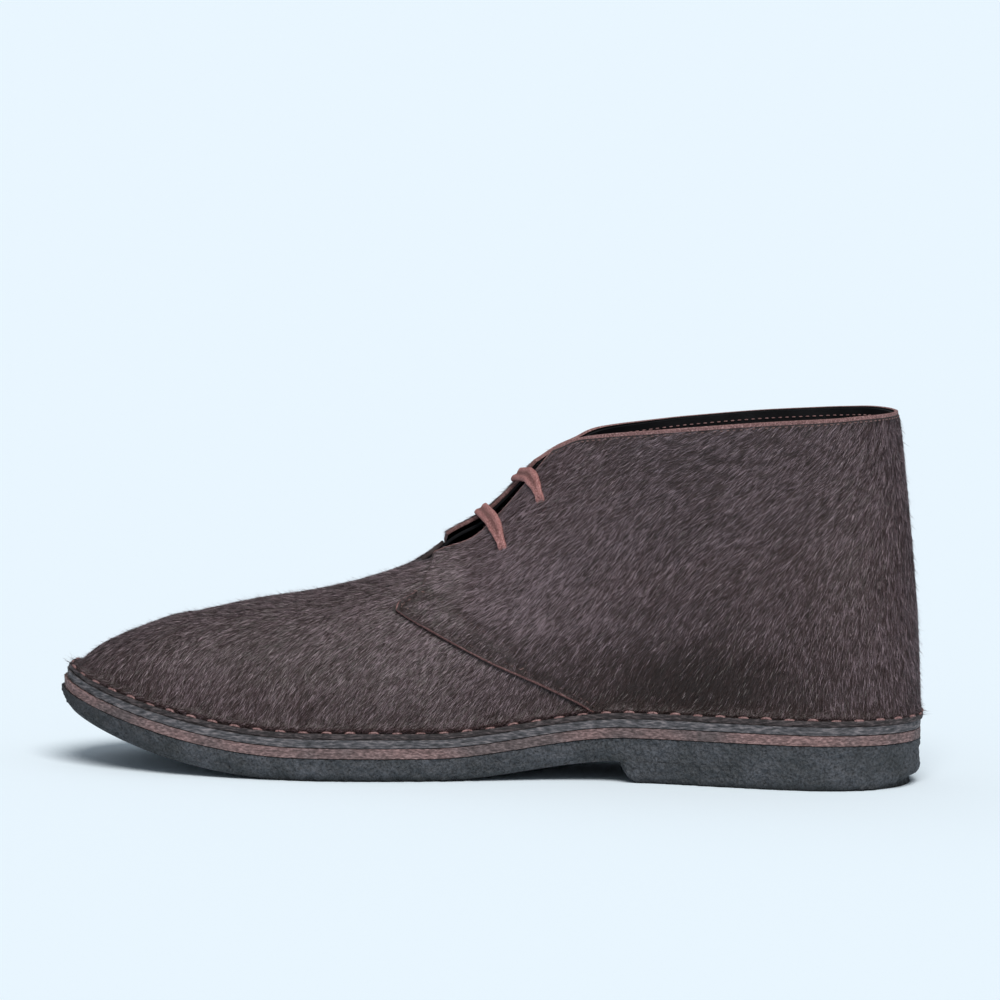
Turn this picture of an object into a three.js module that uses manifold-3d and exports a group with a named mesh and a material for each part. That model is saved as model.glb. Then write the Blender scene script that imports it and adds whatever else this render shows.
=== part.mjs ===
// A chukka boot for the right foot, in millimetres.
// +X runs to the toe, +Y to the inner (medial) side of the foot, +Z up.
// The origin lies on the floor under the middle of the heel.

import * as THREE from 'three';
import { mergeVertices } from 'three/addons/utils/BufferGeometryUtils.js';
import Module from 'manifold-3d';

const wasm = await Module();
wasm.setup();

// Driving dimensions of the whole boot
const soleLength = 300;
const heelReach = 38; // from the origin back to the edge of the sole
const ballWidth = 102;
const toeSpring = 21.2; // how far the toe's edge stands off the floor
const collarHeight = 128; // floor to the top of the back of the collar
const collarWidth = 64;
const collarReach = 27.4; // from the origin back to the collar
const instepRise = 58.2; // from the upper's foot to the vamp's edge at the throat

// Layers, from the floor up
const heelBlock = 7.2;
const crepeSheet = 7.9;
const crepeToeThinning = 2.2;
const midsoleThick = 3.4;
const runnerThick = 2.5;
const flangeThick = 2;
const insoleThick = 3;
const gap = 0.3; // clearance between pieces that touch

// How far the front ends of the layers stand back from the crepe's
const toeSetback = { crepe: 0, midsole: 1, runner: 2, flange: 3 };

// The upper
const wall = 2.3;
const quarterStep = 1.4; // the quarters lie on the vamp by this much
const quarterLap = 11; // width of the two layers behind the quarter's edge
const flangeReach = 5.6; // how far the turned-out edge reaches at the sides
const toeFlange = 6.8;
const heelFlange = 2;
const flangeTrim = 0.6; // the flange ends just inside the sole's edge
const flareShare = 0.55; // the wall sweeps out by this share of the flange
const flareHeight = 2.2; // over this height
const ankleHollow = 1.6; // swell over the heel and hollow at the ankle

// Throat, tongue and laces
const throatAt = 0.582; // shares of the sole's length
const collarFrontAt = 0.395;
const throatHalf = 8; // half the opening between the facings, at the vamp
const throatTopHalf = 11;
const throatRound = 5; // length of the opening's rounded front
const throatBehind = 14; // the cut runs on behind the collar's front
const throatFloor = 0.5; // the cut starts at this share of the instep's rise
const tongueThick = 1.8;
const tongueHalf = 21;
const tongueTopHalf = 25;
const tongueEnd = 0.82; // the tongue narrows to this share at its free end
const tongueEndSlope = 1.2;
const tongueArch = 11; // the tongue's edges hang this far below its crown
const eyeletRadius = 2.3;
const laceWidth = 5.4;
const laceThick = 2;
const laceSkew = 12; // the outer eyelets sit this much nearer the toe

// Half widths of the sole, as shares of the ball's width
const soleRows = [
  { at: 0.127, medial: 0.328, lateral: 0.333 },
  { at: 0.21, medial: 0.299, lateral: 0.335 },
  { at: 0.293, medial: 0.258, lateral: 0.345 },
  { at: 0.343, medial: 0.252, lateral: 0.36 },
  { at: 0.393, medial: 0.262, lateral: 0.385 },
  { at: 0.443, medial: 0.292, lateral: 0.43 },
  { at: 0.51, medial: 0.348, lateral: 0.49 },
  { at: 0.58, medial: 0.407, lateral: 0.533 },
  { at: 0.635, medial: 0.443, lateral: 0.546 },
  { at: 0.693, medial: 0.46, lateral: 0.54 },
];

// The last above the sole, a row for each section across the foot.
// ridge: height of the section's top over the upper's foot, as a share of the instep's rise
// lean: how far that top lies to the inner side, as a share of the ball's width
// collar: half width at the collar's height, as a share of the collar's width
// full: how square the section's shoulders are
// hollow: share of the ankle's swell and hollow
const lastRows = [
  { at: 0.127, ridge: 5.3, lean: 0, collar: 0.47, full: 3, hollow: 1 },
  { at: 0.21, ridge: 4.6, lean: 0, collar: 0.5, full: 3, hollow: 1 },
  { at: 0.293, ridge: 3.5, lean: -0.01, collar: 0.5, full: 2.8, hollow: 0.8 },
  { at: 0.343, ridge: 2.5, lean: -0.02, collar: 0.485, full: 2.6, hollow: 0.5 },
  { at: 0.393, ridge: 1.88, lean: -0.032, collar: 0.46, full: 4, hollow: 0.2 },
  { at: 0.443, ridge: 1.575, lean: -0.08, collar: 0.46, full: 3.4, hollow: 0 },
  { at: 0.51, ridge: 1.255, lean: -0.105, collar: 0.48, full: 2, hollow: 0 },
  { at: 0.552, ridge: 1.14, lean: -0.08, collar: 0.51, full: 1.7, hollow: 0 },
  { at: 0.585, ridge: 0.998, lean: -0.03, collar: 0.56, full: 2, hollow: 0 },
  { at: 0.627, ridge: 0.903, lean: 0, collar: 0.62, full: 2, hollow: 0 },
  { at: 0.693, ridge: 0.808, lean: 0.03, collar: 0.66, full: 2, hollow: 0 },
  { at: 0.77, ridge: 0.714, lean: 0.05, collar: 0.66, full: 2, hollow: 0 },
  { at: 0.82, ridge: 0.617, lean: 0.061, collar: 0.62, full: 2, hollow: 0 },
  { at: 0.838, ridge: 0.576, lean: 0.064, collar: 0.605, full: 2, hollow: 0 },
  { at: 0.843, ridge: 0.562, lean: 0.065, collar: 0.6, full: 2, hollow: 0 },
];

// The collar's edge and the quarter's edge in side view:
// at is a share of the sole's length, rise one of the height over the upper's foot
const collarEdge = [
  { at: -0.2, rise: 1.003 },
  { at: 0.03, rise: 1 },
  { at: 0.1, rise: 0.99 },
  { at: 0.19, rise: 0.972 },
  { at: 0.27, rise: 0.95 },
  { at: 0.31, rise: 0.938 },
  { at: 0.37, rise: 0.925 },
  { at: 0.395, rise: 0.919 },
  { at: 0.413, rise: 0.9 },
  { at: 0.433, rise: 0.883 },
  { at: 0.45, rise: 0.858 },
];
const quarterEdge = [
  { at: 0.34, rise: -0.1 },
  { at: 0.374, rise: 0.053 },
  { at: 0.43, rise: 0.24 },
  { at: 0.484, rise: 0.41 },
  { at: 0.542, rise: 0.585 },
  { at: 0.59, rise: 0.722 },
  { at: 0.598, rise: 0.76 },
  { at: 0.589, rise: 0.81 },
  { at: 0.573, rise: 0.86 },
  { at: 0.566, rise: 0.95 },
  { at: 0.56, rise: 1.3 },
];

// The two pairs of eyelets on the inner side, lower pair first;
// inset is the distance from the facing's edge, as a share of the ball's width
const eyeletRows = [
  { at: 0.475, inset: 0.111 },
  { at: 0.432, inset: 0.102 },
];

// The tongue's crown in side view, from under the vamp to its free end
const tongueCrown = [
  { at: 0.645, rise: 0.845 },
  { at: 0.61, rise: 0.883 },
  { at: 0.58, rise: 0.905 },
  { at: 0.55, rise: 0.985 },
  { at: 0.515, rise: 1.1 },
  { at: 0.48, rise: 1.24 },
  { at: 0.445, rise: 1.4 },
  { at: 0.415, rise: 1.57 },
];

// How the sole lifts off the floor
const archBack = 60;
const archFront = 128;
const springStart = 170;
const thinningStart = 200;
const breastFoot = 61; // the heel block's front edge on the floor
const breastLean = 3;
const breastBow = { forward: 0.25, up: 0.6 }; // where its curve bends, as shares of its size

// Shapes of the two ends and of a section, as powers of rounded squares
const heelPower = 2.1;
const toePower = 2.05;
const shoulderPower = 2.25;
const toeShoulder = 1.05;
const collarPower = 1.5; // how late the wall leans in towards the collar

// Corners of half the lace's section, as shares of half its width and half its thickness
const laceCorners = [[-1, -0.4], [-0.7, -1], [0.7, -1], [1, -0.4]];

// How finely the forms are divided
const fanRays = 8; // from the side to the middle of the heel, and of the toe
const sideRays = 17;
const levels = 12;
const soleSteps = 26;
const edgeSteps = 28;
const throatSteps = 8;
const laceSteps = 14;
const halvings = 40; // how often a search halves its interval
const lowRing = 0.04; // height of the first ring over the foot, as a share of the instep's rise
const arcStart = 0.11; // the rings above it start at this share of a half turn

// Forms that cut reach past what they cut
const capOver = 20; // over the collar
const drop = 8; // below the upper's foot

const { clamp, lerp, smoothstep } = THREE.MathUtils;
const toeEnd = soleLength - heelReach;
const toeCentre = along(soleRows.at(-1).at);
const fanCentre = along(lastRows.at(-1).at);
const capHeight = collarHeight + capOver;
const wide = ballWidth; // enough to pass right through the boot
const archRise = heelBlock + gap;

// Heights of the layers over the sole's underside
const midsoleFoot = crepeSheet + gap;
const runnerFoot = midsoleFoot + midsoleThick + gap;
const upperFoot = runnerFoot + runnerThick + gap;
const collarRise = collarHeight - archRise - upperFoot;

function along(share) {
  return share * soleLength - heelReach;
}

// A smooth curve through one column of a table, as a function of X
function column(rows, name) {
  const stations = rows.map((row) => along(row.at));
  const values = rows.map((row) => row[name]);
  const curve = new THREE.CubicInterpolant(stations, values, 1, new Float64Array(1));
  const first = stations[0];
  const last = stations.at(-1);
  return (x) => curve.evaluate(clamp(x, first, last))[0];
}

const sole = { medial: column(soleRows, 'medial'), lateral: column(soleRows, 'lateral') };
const last = {};
for (const name of ['ridge', 'lean', 'collar', 'full', 'hollow']) {
  last[name] = column(lastRows, name);
}

// Height of the sole's underside: the arch behind the ball, the spring before the toe
function lift(x) {
  const arch = archRise * (1 - smoothstep(x, archBack, archFront));
  const spring = toeSpring * (Math.max(0, x - springStart) / (toeEnd - springStart)) ** 2;
  return arch + spring;
}

// The crepe is thinner towards the toe, and everything on it comes down with it
function footLine(x, height) {
  const share = Math.max(0, x - thinningStart) / (toeEnd - thinningStart);
  return lift(x) + height - crepeToeThinning * share ** 2;
}

const upperBase = (x) => footLine(x, upperFoot);

function sidePoint(point, size) {
  const x = along(point.at);
  return new THREE.Vector2(x, upperBase(x) + point.rise * size);
}

// Plan of the sole, moved in by inset: round heel, sides from the table, round toe
function insideEdge(x, y, inset) {
  const side = y > 0 ? 1 : -1;
  const name = side > 0 ? 'medial' : 'lateral';
  if (x < 0) {
    const back = heelReach - inset.heel;
    const across = sole[name](0) * ballWidth - inset.side;
    return (-x / back) ** heelPower + (Math.abs(y) / across) ** heelPower < 1;
  }
  if (x < toeCentre) {
    return Math.abs(y) < sole[name](x) * ballWidth - inset.side;
  }
  const middle = last.lean(fanCentre) * ballWidth;
  const over = y > middle ? 'medial' : 'lateral';
  const shift = y > middle ? -middle : middle;
  const length = toeEnd - toeCentre - inset.toe;
  const across = sole[over](toeCentre) * ballWidth + shift - inset.side;
  return ((x - toeCentre) / length) ** toePower + (Math.abs(y - middle) / across) ** toePower < 1;
}

// Distance along a ray from its axis to the edge of the sole, moved in by inset
function reach(ray, inset) {
  let near = 0;
  let far = wide;
  for (let step = 0; step < halvings; step += 1) {
    const middle = (near + far) / 2;
    if (insideEdge(ray.x + ray.dx * middle, ray.y + ray.dy * middle, inset)) near = middle;
    else far = middle;
  }
  return near;
}

// Rays around the foot, seen from above: a fan round the heel, one ray a section
// along each side, and a fan round the toe
function makeRays() {
  const fan = (x, y, from, to) => Array.from({ length: fanRays }, (_, i) => {
    const angle = lerp(from, to, i / (fanRays - 1)) * Math.PI;
    return { x, y, dx: Math.cos(angle), dy: Math.sin(angle) };
  });
  const toeY = last.lean(fanCentre) * ballWidth;
  const side = Array.from({ length: sideRays }, (_, i) => {
    const x = fanCentre * (i + 1) / (sideRays + 1);
    return { x, y: last.lean(x) * ballWidth, dx: 0, dy: 1 };
  });
  const otherSide = side.map((ray) => ({ ...ray, dy: -1 })).reverse();
  return [
    ...fan(0, 0, 1, 0.5),
    ...side,
    ...fan(fanCentre, toeY, 0.5, 0),
    ...fan(fanCentre, toeY, 0, -0.5).slice(1),
    ...otherSide,
    ...fan(0, 0, -0.5, -1).slice(0, -1),
  ];
}

const footInset = { heel: heelFlange, side: flangeReach, toe: toeFlange };
const rays = makeRays();
for (const ray of rays) {
  const edge = reach(ray, { heel: 0, side: 0, toe: 0 });
  ray.foot = reach(ray, footInset);
  ray.flange = edge - ray.foot;
  ray.base = upperBase(ray.x + ray.dx * ray.foot);
  ray.rise = upperBase(ray.x) + last.ridge(ray.x) * instepRise - ray.base;
  ray.collar = collarDistance(ray);
}

// Distance from a ray's axis to the wall at the collar's height
function collarDistance(ray) {
  const half = last.collar(ray.x) * collarWidth;
  if (ray.x > 0 && ray.dx !== 0) return ray.foot;
  if (ray.dx !== 0) return 1 / Math.hypot(ray.dx / collarReach, ray.dy / half);
  return half - ray.dy * ray.y;
}

// Distance from a ray's axis to the last's surface, at a height over its foot
function distance(ray, height) {
  const share = Math.min(1, height / collarRise);
  const straight = lerp(ray.foot, ray.collar, share ** collarPower);
  const hollow = last.hollow(ray.x) * ankleHollow * Math.abs(ray.dy) * Math.sin(2 * Math.PI * share);
  const forward = Math.max(0, ray.dx) ** 2;
  const shoulder = ray.x > 0 ? lerp(shoulderPower, toeShoulder, forward) : shoulderPower;
  const closing = Math.max(0, 1 - (height / ray.rise) ** last.full(ray.x)) ** (1 / shoulder);
  const flare = flareShare * ray.flange * Math.exp(-height / flareHeight);
  return (straight + hollow) * closing + flare * Math.min(1, 2 * closing);
}

// The last's surface as rings of points, from its foot up to the ridge or the cap
function lastRings() {
  const heightsOf = (ray) => {
    const top = Math.min(ray.rise, capHeight - ray.base);
    const arc = Array.from({ length: levels }, (_, i) => {
      const angle = lerp(arcStart, 0.5, i / (levels - 1)) * Math.PI;
      return top * Math.sin(angle);
    });
    return [0, lowRing * Math.min(top, instepRise), ...arc];
  };
  const columns = rays.map((ray) => heightsOf(ray).map((height) => {
    const out = distance(ray, height);
    return new THREE.Vector3(ray.x + ray.dx * out, ray.y + ray.dy * out, ray.base + height);
  }));
  return columns[0].map((_, level) => columns.map((points) => points[level]));
}

// Calls use(a, b, c) for each triangle between neighbouring rings
function eachTriangle(rings, use) {
  for (let i = 0; i + 1 < rings.length; i += 1) {
    const low = rings[i];
    const high = rings[i + 1];
    for (let j = 0; j < low.length; j += 1) {
      const k = (j + 1) % low.length;
      use(low[j], high[j], high[k]);
      use(low[j], high[k], low[k]);
    }
  }
}

// The outward direction at each point of the rings, from the faces that share it
function outward(rings) {
  const sums = new Map();
  const key = (point) => point.toArray().map((value) => value.toFixed(4)).join();
  eachTriangle(rings, (a, b, c) => {
    const normal = b.clone().sub(a).cross(c.clone().sub(a));
    for (const point of [a, b, c]) {
      const sum = sums.get(key(point)) ?? new THREE.Vector3();
      sums.set(key(point), sum.add(normal));
    }
  });
  return rings.map((ring) => ring.map((point) => sums.get(key(point)).clone().normalize()));
}

// One closed solid through rings whose first and last have no inside
function loft(rings) {
  const points = [];
  eachTriangle(rings, (...corners) => corners.forEach((corner) => points.push(...corner)));
  const geometry = new THREE.BufferGeometry();
  geometry.setAttribute('position', new THREE.Float32BufferAttribute(points, 3));
  return toSolid(geometry);
}

// A closed three.js geometry as a solid that can be joined and cut
function toSolid(geometry) {
  const bare = new THREE.BufferGeometry();
  bare.setAttribute('position', geometry.attributes.position);
  bare.setIndex(geometry.index);
  const merged = mergeVertices(bare, 1e-3);
  const faces = merged.index.array;
  const triVerts = [];
  for (let i = 0; i < faces.length; i += 3) {
    const [a, b, c] = faces.slice(i, i + 3);
    if (a !== b && b !== c && c !== a) triVerts.push(a, b, c);
  }
  return new wasm.Manifold(new wasm.Mesh({
    numProp: 3,
    vertProperties: Float32Array.from(merged.attributes.position.array),
    triVerts: Uint32Array.from(triVerts),
  }));
}

const skin = lastRings();
const skinNormals = outward(skin);

// The last, larger or smaller all over by grow, cut flat below and above
function lastForm(grow) {
  const rings = skin.map((ring, i) => ring.map((point, j) => (
    point.clone().addScaledVector(skinNormals[i][j], grow)
  )));
  const capped = rays.map((ray) => ray.rise > capHeight - ray.base);
  rings.at(-1).forEach((point, j) => capped[j] && point.setZ(capHeight));
  const foot = rings[0].map((point, j) => point.clone().setZ(rays[j].base - drop));
  const under = rays.map((ray) => new THREE.Vector3(ray.x, ray.y, upperBase(ray.x) - drop));
  const cap = rings.at(-1).map((point, j) => (
    capped[j] ? new THREE.Vector3(rays[j].x, rays[j].y, capHeight) : point
  ));
  return loft([under, foot, ...rings, cap]);
}

// A side view (X, Z) carried right across the boot
function across(shape) {
  const geometry = new THREE.ExtrudeGeometry(shape, { depth: 2 * wide, bevelEnabled: false });
  geometry.translate(0, 0, -wide);
  geometry.rotateX(Math.PI / 2);
  return toSolid(geometry);
}

// A plan (X, Y) carried up from below the floor
function upright(points) {
  const shape = new THREE.Shape(points);
  const geometry = new THREE.ExtrudeGeometry(shape, { depth: 2 * capHeight, bevelEnabled: false });
  geometry.translate(0, 0, -drop);
  return toSolid(geometry);
}

// Everything between two lines that follow the sole, each a function of X
function between(low, high, from = -heelReach - 1, to = toeEnd + 1) {
  const stations = Array.from({ length: soleSteps + 1 }, (_, i) => lerp(from, to, i / soleSteps));
  stations.push(...[archBack, archFront, springStart].filter((x) => x > from && x < to));
  stations.sort((a, b) => a - b);
  const lower = stations.map((x) => new THREE.Vector2(x, low(x)));
  const upper = stations.map((x) => new THREE.Vector2(x, high(x)));
  return across(new THREE.Shape([...lower, ...upper.reverse()]));
}

function plan(trim, toe) {
  return upright(rays.map((ray) => {
    const out = reach(ray, { heel: trim, side: trim, toe });
    return new THREE.Vector2(ray.x + ray.dx * out, ray.y + ray.dy * out);
  }));
}

// A sheet of the sole, from one height over its underside to another
function layer(foot, thick, toe, trim = 0) {
  const low = (x) => (foot > 0 ? footLine(x, foot) : lift(x));
  return between(low, (x) => footLine(x, foot + thick)).intersect(plan(trim, toe));
}

function heelLift() {
  const top = heelBlock;
  const shape = new THREE.Shape();
  shape.moveTo(-heelReach - 1, 0);
  shape.lineTo(breastFoot, 0);
  shape.quadraticCurveTo(
    breastFoot + breastBow.forward * breastLean,
    breastBow.up * top,
    breastFoot + breastLean,
    top,
  );
  shape.lineTo(-heelReach - 1, top);
  return across(shape).intersect(plan(0, toeSetback.crepe)).intersect(between(() => -1, (x) => lift(x) - gap));
}

// Everything behind the quarter's edge, in side view, set back by lap
function quarterRegion(lap) {
  const edge = quarterEdge.map((point) => sidePoint(point, instepRise));
  edge.forEach((point) => point.setX(point.x - lap));
  const back = -heelReach - wide;
  return across(new THREE.Shape([
    new THREE.Vector2(back, -drop),
    new THREE.Vector2(edge[0].x, -drop),
    ...new THREE.SplineCurve(edge).getPoints(edgeSteps),
    new THREE.Vector2(edge.at(-1).x, 2 * capHeight),
    new THREE.Vector2(back, 2 * capHeight),
  ]));
}

// What the collar's edge and the throat take away
function collarCut() {
  const edge = collarEdge.map((point) => sidePoint(point, collarRise));
  return across(new THREE.Shape([
    ...new THREE.SplineCurve(edge).getPoints(edgeSteps),
    new THREE.Vector2(edge.at(-1).x + wide, edge.at(-1).y),
    new THREE.Vector2(edge.at(-1).x + wide, 3 * capHeight),
    new THREE.Vector2(edge[0].x, 3 * capHeight),
  ]));
}

function throatHalfAt(x) {
  const top = along(collarFrontAt);
  const share = Math.max(0, along(throatAt) - x) / (along(throatAt) - top);
  return lerp(throatHalf, throatTopHalf, share ** 2);
}

// The opening between the facings, narrowed all round by inset
function throatCut(inset = 0) {
  const front = along(throatAt) - inset;
  const top = along(collarFrontAt);
  const stations = Array.from({ length: throatSteps + 1 }, (_, i) => (
    lerp(front - throatRound, top - throatBehind, i / throatSteps)
  ));
  const medial = stations.map((x) => new THREE.Vector2(x, throatHalfAt(x) - inset));
  const lateral = stations.map((x) => new THREE.Vector2(x, inset - throatHalfAt(x))).reverse();
  const round = Array.from({ length: throatSteps + 1 }, (_, i) => {
    const angle = lerp(-0.5, 0.5, i / throatSteps) * Math.PI;
    const x = front - throatRound * (1 - Math.cos(angle));
    return new THREE.Vector2(x, (throatHalf - inset) * Math.sin(angle));
  });
  const shape = new THREE.Shape([...lateral, ...round.slice(1, -1), ...medial]);
  const geometry = new THREE.ExtrudeGeometry(shape, { depth: 2 * capHeight, bevelEnabled: false });
  geometry.translate(0, 0, upperFoot + throatFloor * instepRise);
  return toSolid(geometry);
}

// The point of the last over (x, y), and the direction away from it there
function onLast(x, y) {
  const height = (px, py) => {
    const ray = { x: px, y: last.lean(px) * ballWidth, dx: 0 };
    ray.dy = py > ray.y ? 1 : -1;
    ray.foot = reach(ray, footInset);
    ray.flange = 0;
    ray.base = upperBase(px);
    ray.rise = last.ridge(px) * instepRise;
    ray.collar = collarDistance(ray);
    let low = 0;
    let high = ray.rise;
    for (let step = 0; step < halvings; step += 1) {
      const middle = (low + high) / 2;
      if (distance(ray, middle) > Math.abs(py - ray.y)) low = middle;
      else high = middle;
    }
    return ray.base + low;
  };
  const step = 1;
  const slopeX = (height(x + step, y) - height(x - step, y)) / (2 * step);
  const slopeY = (height(x, y + step) - height(x, y - step)) / (2 * step);
  return {
    point: new THREE.Vector3(x, y, height(x, y)),
    away: new THREE.Vector3(-slopeX, -slopeY, 1).normalize(),
  };
}

// Distance of a pair's eyelets from the middle of the throat
function eyeletOut(row) {
  return throatHalfAt(along(row.at)) + row.inset * ballWidth;
}

function eyelets() {
  return eyeletRows.flatMap((row) => [
    onLast(along(row.at), eyeletOut(row)),
    onLast(along(row.at) + laceSkew, -eyeletOut(row)),
  ]);
}

function eyeletPin({ point, away }) {
  const geometry = new THREE.CylinderGeometry(eyeletRadius, eyeletRadius, 6 * wall, 12);
  const turn = new THREE.Quaternion().setFromUnitVectors(new THREE.Vector3(0, 1, 0), away);
  geometry.applyQuaternion(turn);
  geometry.translate(...point);
  return toSolid(geometry);
}

// The upper: vamp and quarters in one hollow wall with its foot turned out
function upper() {
  const above = between(upperBase, () => 2 * capHeight);
  const quarter = lastForm(quarterStep).intersect(quarterRegion(0));
  const flange = layer(upperFoot, flangeThick, toeSetback.flange, flangeTrim);
  const inside = lastForm(-wall);
  const roomier = lastForm(quarterStep - wall).intersect(quarterRegion(quarterLap));
  let body = lastForm(0).add(quarter).intersect(above).add(flange);
  body = body.subtract(inside).subtract(roomier);
  body = body.subtract(collarCut()).subtract(throatCut());
  for (const place of eyelets()) body = body.subtract(eyeletPin(place));
  return body;
}

// A ring with its two long faces brought together, which closes a strip's end
function pinch(ring) {
  return ring.map((point, i) => point.clone().add(ring[ring.length - 1 - i]).multiplyScalar(0.5));
}

function tongue() {
  const crown = new THREE.SplineCurve(tongueCrown.map((point) => sidePoint(point, instepRise)));
  const steps = 12;
  const halves = 5;
  const rings = Array.from({ length: steps + 1 }, (_, i) => {
    const share = i / steps;
    const middle = crown.getPoint(share);
    const run = crown.getTangent(share);
    const away = new THREE.Vector3(run.y, 0, -run.x);
    const narrowed = Math.min(1, tongueEnd + tongueEndSlope * (1 - share));
    const half = lerp(tongueHalf, tongueTopHalf, share) * narrowed;
    const top = Array.from({ length: 2 * halves + 1 }, (__, j) => {
      const over = (j - halves) / halves;
      const point = new THREE.Vector3(middle.x, over * half, middle.y);
      return point.addScaledVector(away, -tongueArch * over ** 2);
    });
    const bottom = top.map((point) => point.clone().addScaledVector(away, -tongueThick));
    return [...bottom, ...top.reverse()];
  });
  const sheet = loft([pinch(rings[0]), ...rings, pinch(rings.at(-1))]);
  return sheet.intersect(lastForm(-wall - gap));
}

// The middle of a lace bar: it lies on both facings and is drawn straight between them
function laceLine(row) {
  const out = eyeletOut(row);
  const edge = throatHalfAt(along(row.at));
  const lie = quarterStep + gap + laceThick / 2;
  const onFacing = (y) => {
    const share = (out - y) / (2 * out);
    const x = along(row.at) + laceSkew * Math.sin(share * Math.PI / 2);
    const { point, away } = onLast(x, y);
    return { point: point.addScaledVector(away, lie), away };
  };
  const inner = onFacing(edge);
  const outer = onFacing(-edge);
  return Array.from({ length: laceSteps + 1 }, (_, i) => {
    const y = lerp(out, -out, i / laceSteps);
    if (Math.abs(y) > edge) return onFacing(y);
    const share = (edge - y) / (2 * edge);
    return {
      point: inner.point.clone().lerp(outer.point, share),
      away: inner.away.clone().lerp(outer.away, share).normalize(),
    };
  });
}

// One bar of lace over the throat, from an inner eyelet to the outer one of its pair
function laceBar(row) {
  const centres = laceLine(row);
  const rings = centres.map(({ point, away }, i) => {
    const next = centres[Math.min(i + 1, laceSteps)].point;
    const before = centres[Math.max(i - 1, 0)].point;
    const run = next.clone().sub(before).normalize();
    const aside = new THREE.Vector3().crossVectors(run, away).normalize();
    const corner = (u, v) => point.clone()
      .addScaledVector(aside, u * laceWidth / 2)
      .addScaledVector(away, v * laceThick / 2);
    return [
      ...laceCorners.map(([u, v]) => corner(u, v)),
      ...laceCorners.map(([u, v]) => corner(-u, -v)),
    ];
  });
  const bar = loft([pinch(rings[0]), ...rings, pinch(rings.at(-1))]);
  return bar.subtract(lastForm(quarterStep + gap).subtract(throatCut(gap)));
}

function insole() {
  return layer(upperFoot, insoleThick, toeSetback.flange).intersect(lastForm(-wall - gap));
}

function piece(name, solid, colour, roughness) {
  const { vertProperties, triVerts } = solid.getMesh();
  const geometry = new THREE.BufferGeometry();
  geometry.setAttribute('position', new THREE.BufferAttribute(vertProperties, 3));
  geometry.setIndex(new THREE.BufferAttribute(triVerts, 1));
  geometry.computeVertexNormals();
  const material = new THREE.MeshStandardMaterial({ color: colour, roughness, metalness: 0 });
  const mesh = new THREE.Mesh(geometry, material);
  mesh.name = name;
  return mesh;
}

const boot = new THREE.Group();
boot.add(
  piece('heel_lift', heelLift(), 0x3b4142, 0.95),
  piece('outsole', layer(0, crepeSheet, toeSetback.crepe), 0x41474a, 0.95),
  piece('midsole', layer(midsoleFoot, midsoleThick, toeSetback.midsole), 0x9a7469, 0.8),
  piece('runner', layer(runnerFoot, runnerThick, toeSetback.runner), 0x2c2a2b, 0.85),
  piece('insole', insole(), 0x1d1b1b, 0.7),
  piece('upper', upper(), 0x3a2a2a, 0.75),
  piece('tongue', tongue(), 0x33262a, 0.8),
  piece('lace_lower', laceBar(eyeletRows[0]), 0x7b5350, 0.9),
  piece('lace_upper', laceBar(eyeletRows[1]), 0x7b5350, 0.9),
);

export default boot;
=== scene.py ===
# %% [markdown]
# A chukka boot in hair-on leather.
#
# The real boot is a vamp and two quarters of dark brown calf with the hair left on.
# Its foot is turned outwards and stitched down on a runner, a leather midsole and a
# sheet of crepe with a heel block under it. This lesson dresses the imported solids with
# those materials. Everything is worked out in millimetres and put into the scene in
# metres. +X runs to the toe, +Y to the inner side of the foot, and +Z up.

# %% Load the fixed frame
import bpy
import numpy as np
from mathutils import Matrix, Vector


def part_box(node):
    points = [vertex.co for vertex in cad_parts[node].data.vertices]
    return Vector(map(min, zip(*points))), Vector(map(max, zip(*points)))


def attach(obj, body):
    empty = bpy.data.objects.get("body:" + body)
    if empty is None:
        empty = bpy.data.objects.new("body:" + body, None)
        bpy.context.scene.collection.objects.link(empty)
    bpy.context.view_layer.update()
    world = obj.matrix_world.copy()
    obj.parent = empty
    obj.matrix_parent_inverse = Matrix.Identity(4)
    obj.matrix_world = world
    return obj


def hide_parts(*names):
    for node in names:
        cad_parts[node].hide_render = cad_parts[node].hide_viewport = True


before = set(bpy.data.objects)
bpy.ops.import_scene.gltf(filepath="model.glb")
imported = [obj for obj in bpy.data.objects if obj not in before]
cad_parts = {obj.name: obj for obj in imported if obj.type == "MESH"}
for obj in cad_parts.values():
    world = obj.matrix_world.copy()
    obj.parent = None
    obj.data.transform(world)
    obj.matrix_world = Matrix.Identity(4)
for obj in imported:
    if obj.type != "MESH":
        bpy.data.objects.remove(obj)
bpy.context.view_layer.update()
print("nodes:", ", ".join(sorted(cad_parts)))

# %% [markdown]
# The sizes come first. What the frame holds is read from it, and the rest repeats the
# sizes of the solids, so that each skin lies exactly where its solid is. Tables hold
# shares of those sizes, with one list for each named column.

# %% Sizes of the boot, in millimetres
MM = 0.001
SOLE_BOX = [np.array(corner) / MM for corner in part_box("outsole")]
UPPER_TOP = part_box("upper")[1][2] / MM
HEEL_END = SOLE_BOX[0][0]
TOE_END = SOLE_BOX[1][0]
SOLE_LENGTH = TOE_END - HEEL_END
BALL_WIDTH = 102
INSTEP_RISE = 58.2
COLLAR_WIDTH = 64
COLLAR_REACH = 27.4
TOE_SPRING = 21.2
HEEL_BLOCK = 7.2
CREPE_SHEET = 7.9
CREPE_TOE_THINNING = 2.2
MIDSOLE = 3.4
RUNNER = 2.5
FLANGE = 2
INSOLE = 3
GAP = 0.3
WALL = 2.3
QUARTER_STEP = 1.4
QUARTER_LAP = 11
FLANGE_REACH = 5.6
TOE_FLANGE = 6.8
HEEL_FLANGE = 2
FLANGE_TRIM = 0.6
TOE_SETBACK = {"crepe": 0, "midsole": 1, "runner": 2, "flange": 3}
FLARE_HEIGHT = 2.2
FLARE_SHARE = 0.55
ANKLE_HOLLOW = 1.6
ARCH_BACK, ARCH_FRONT = 60, 128
SPRING_START, THINNING_START = 170, 200
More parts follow.
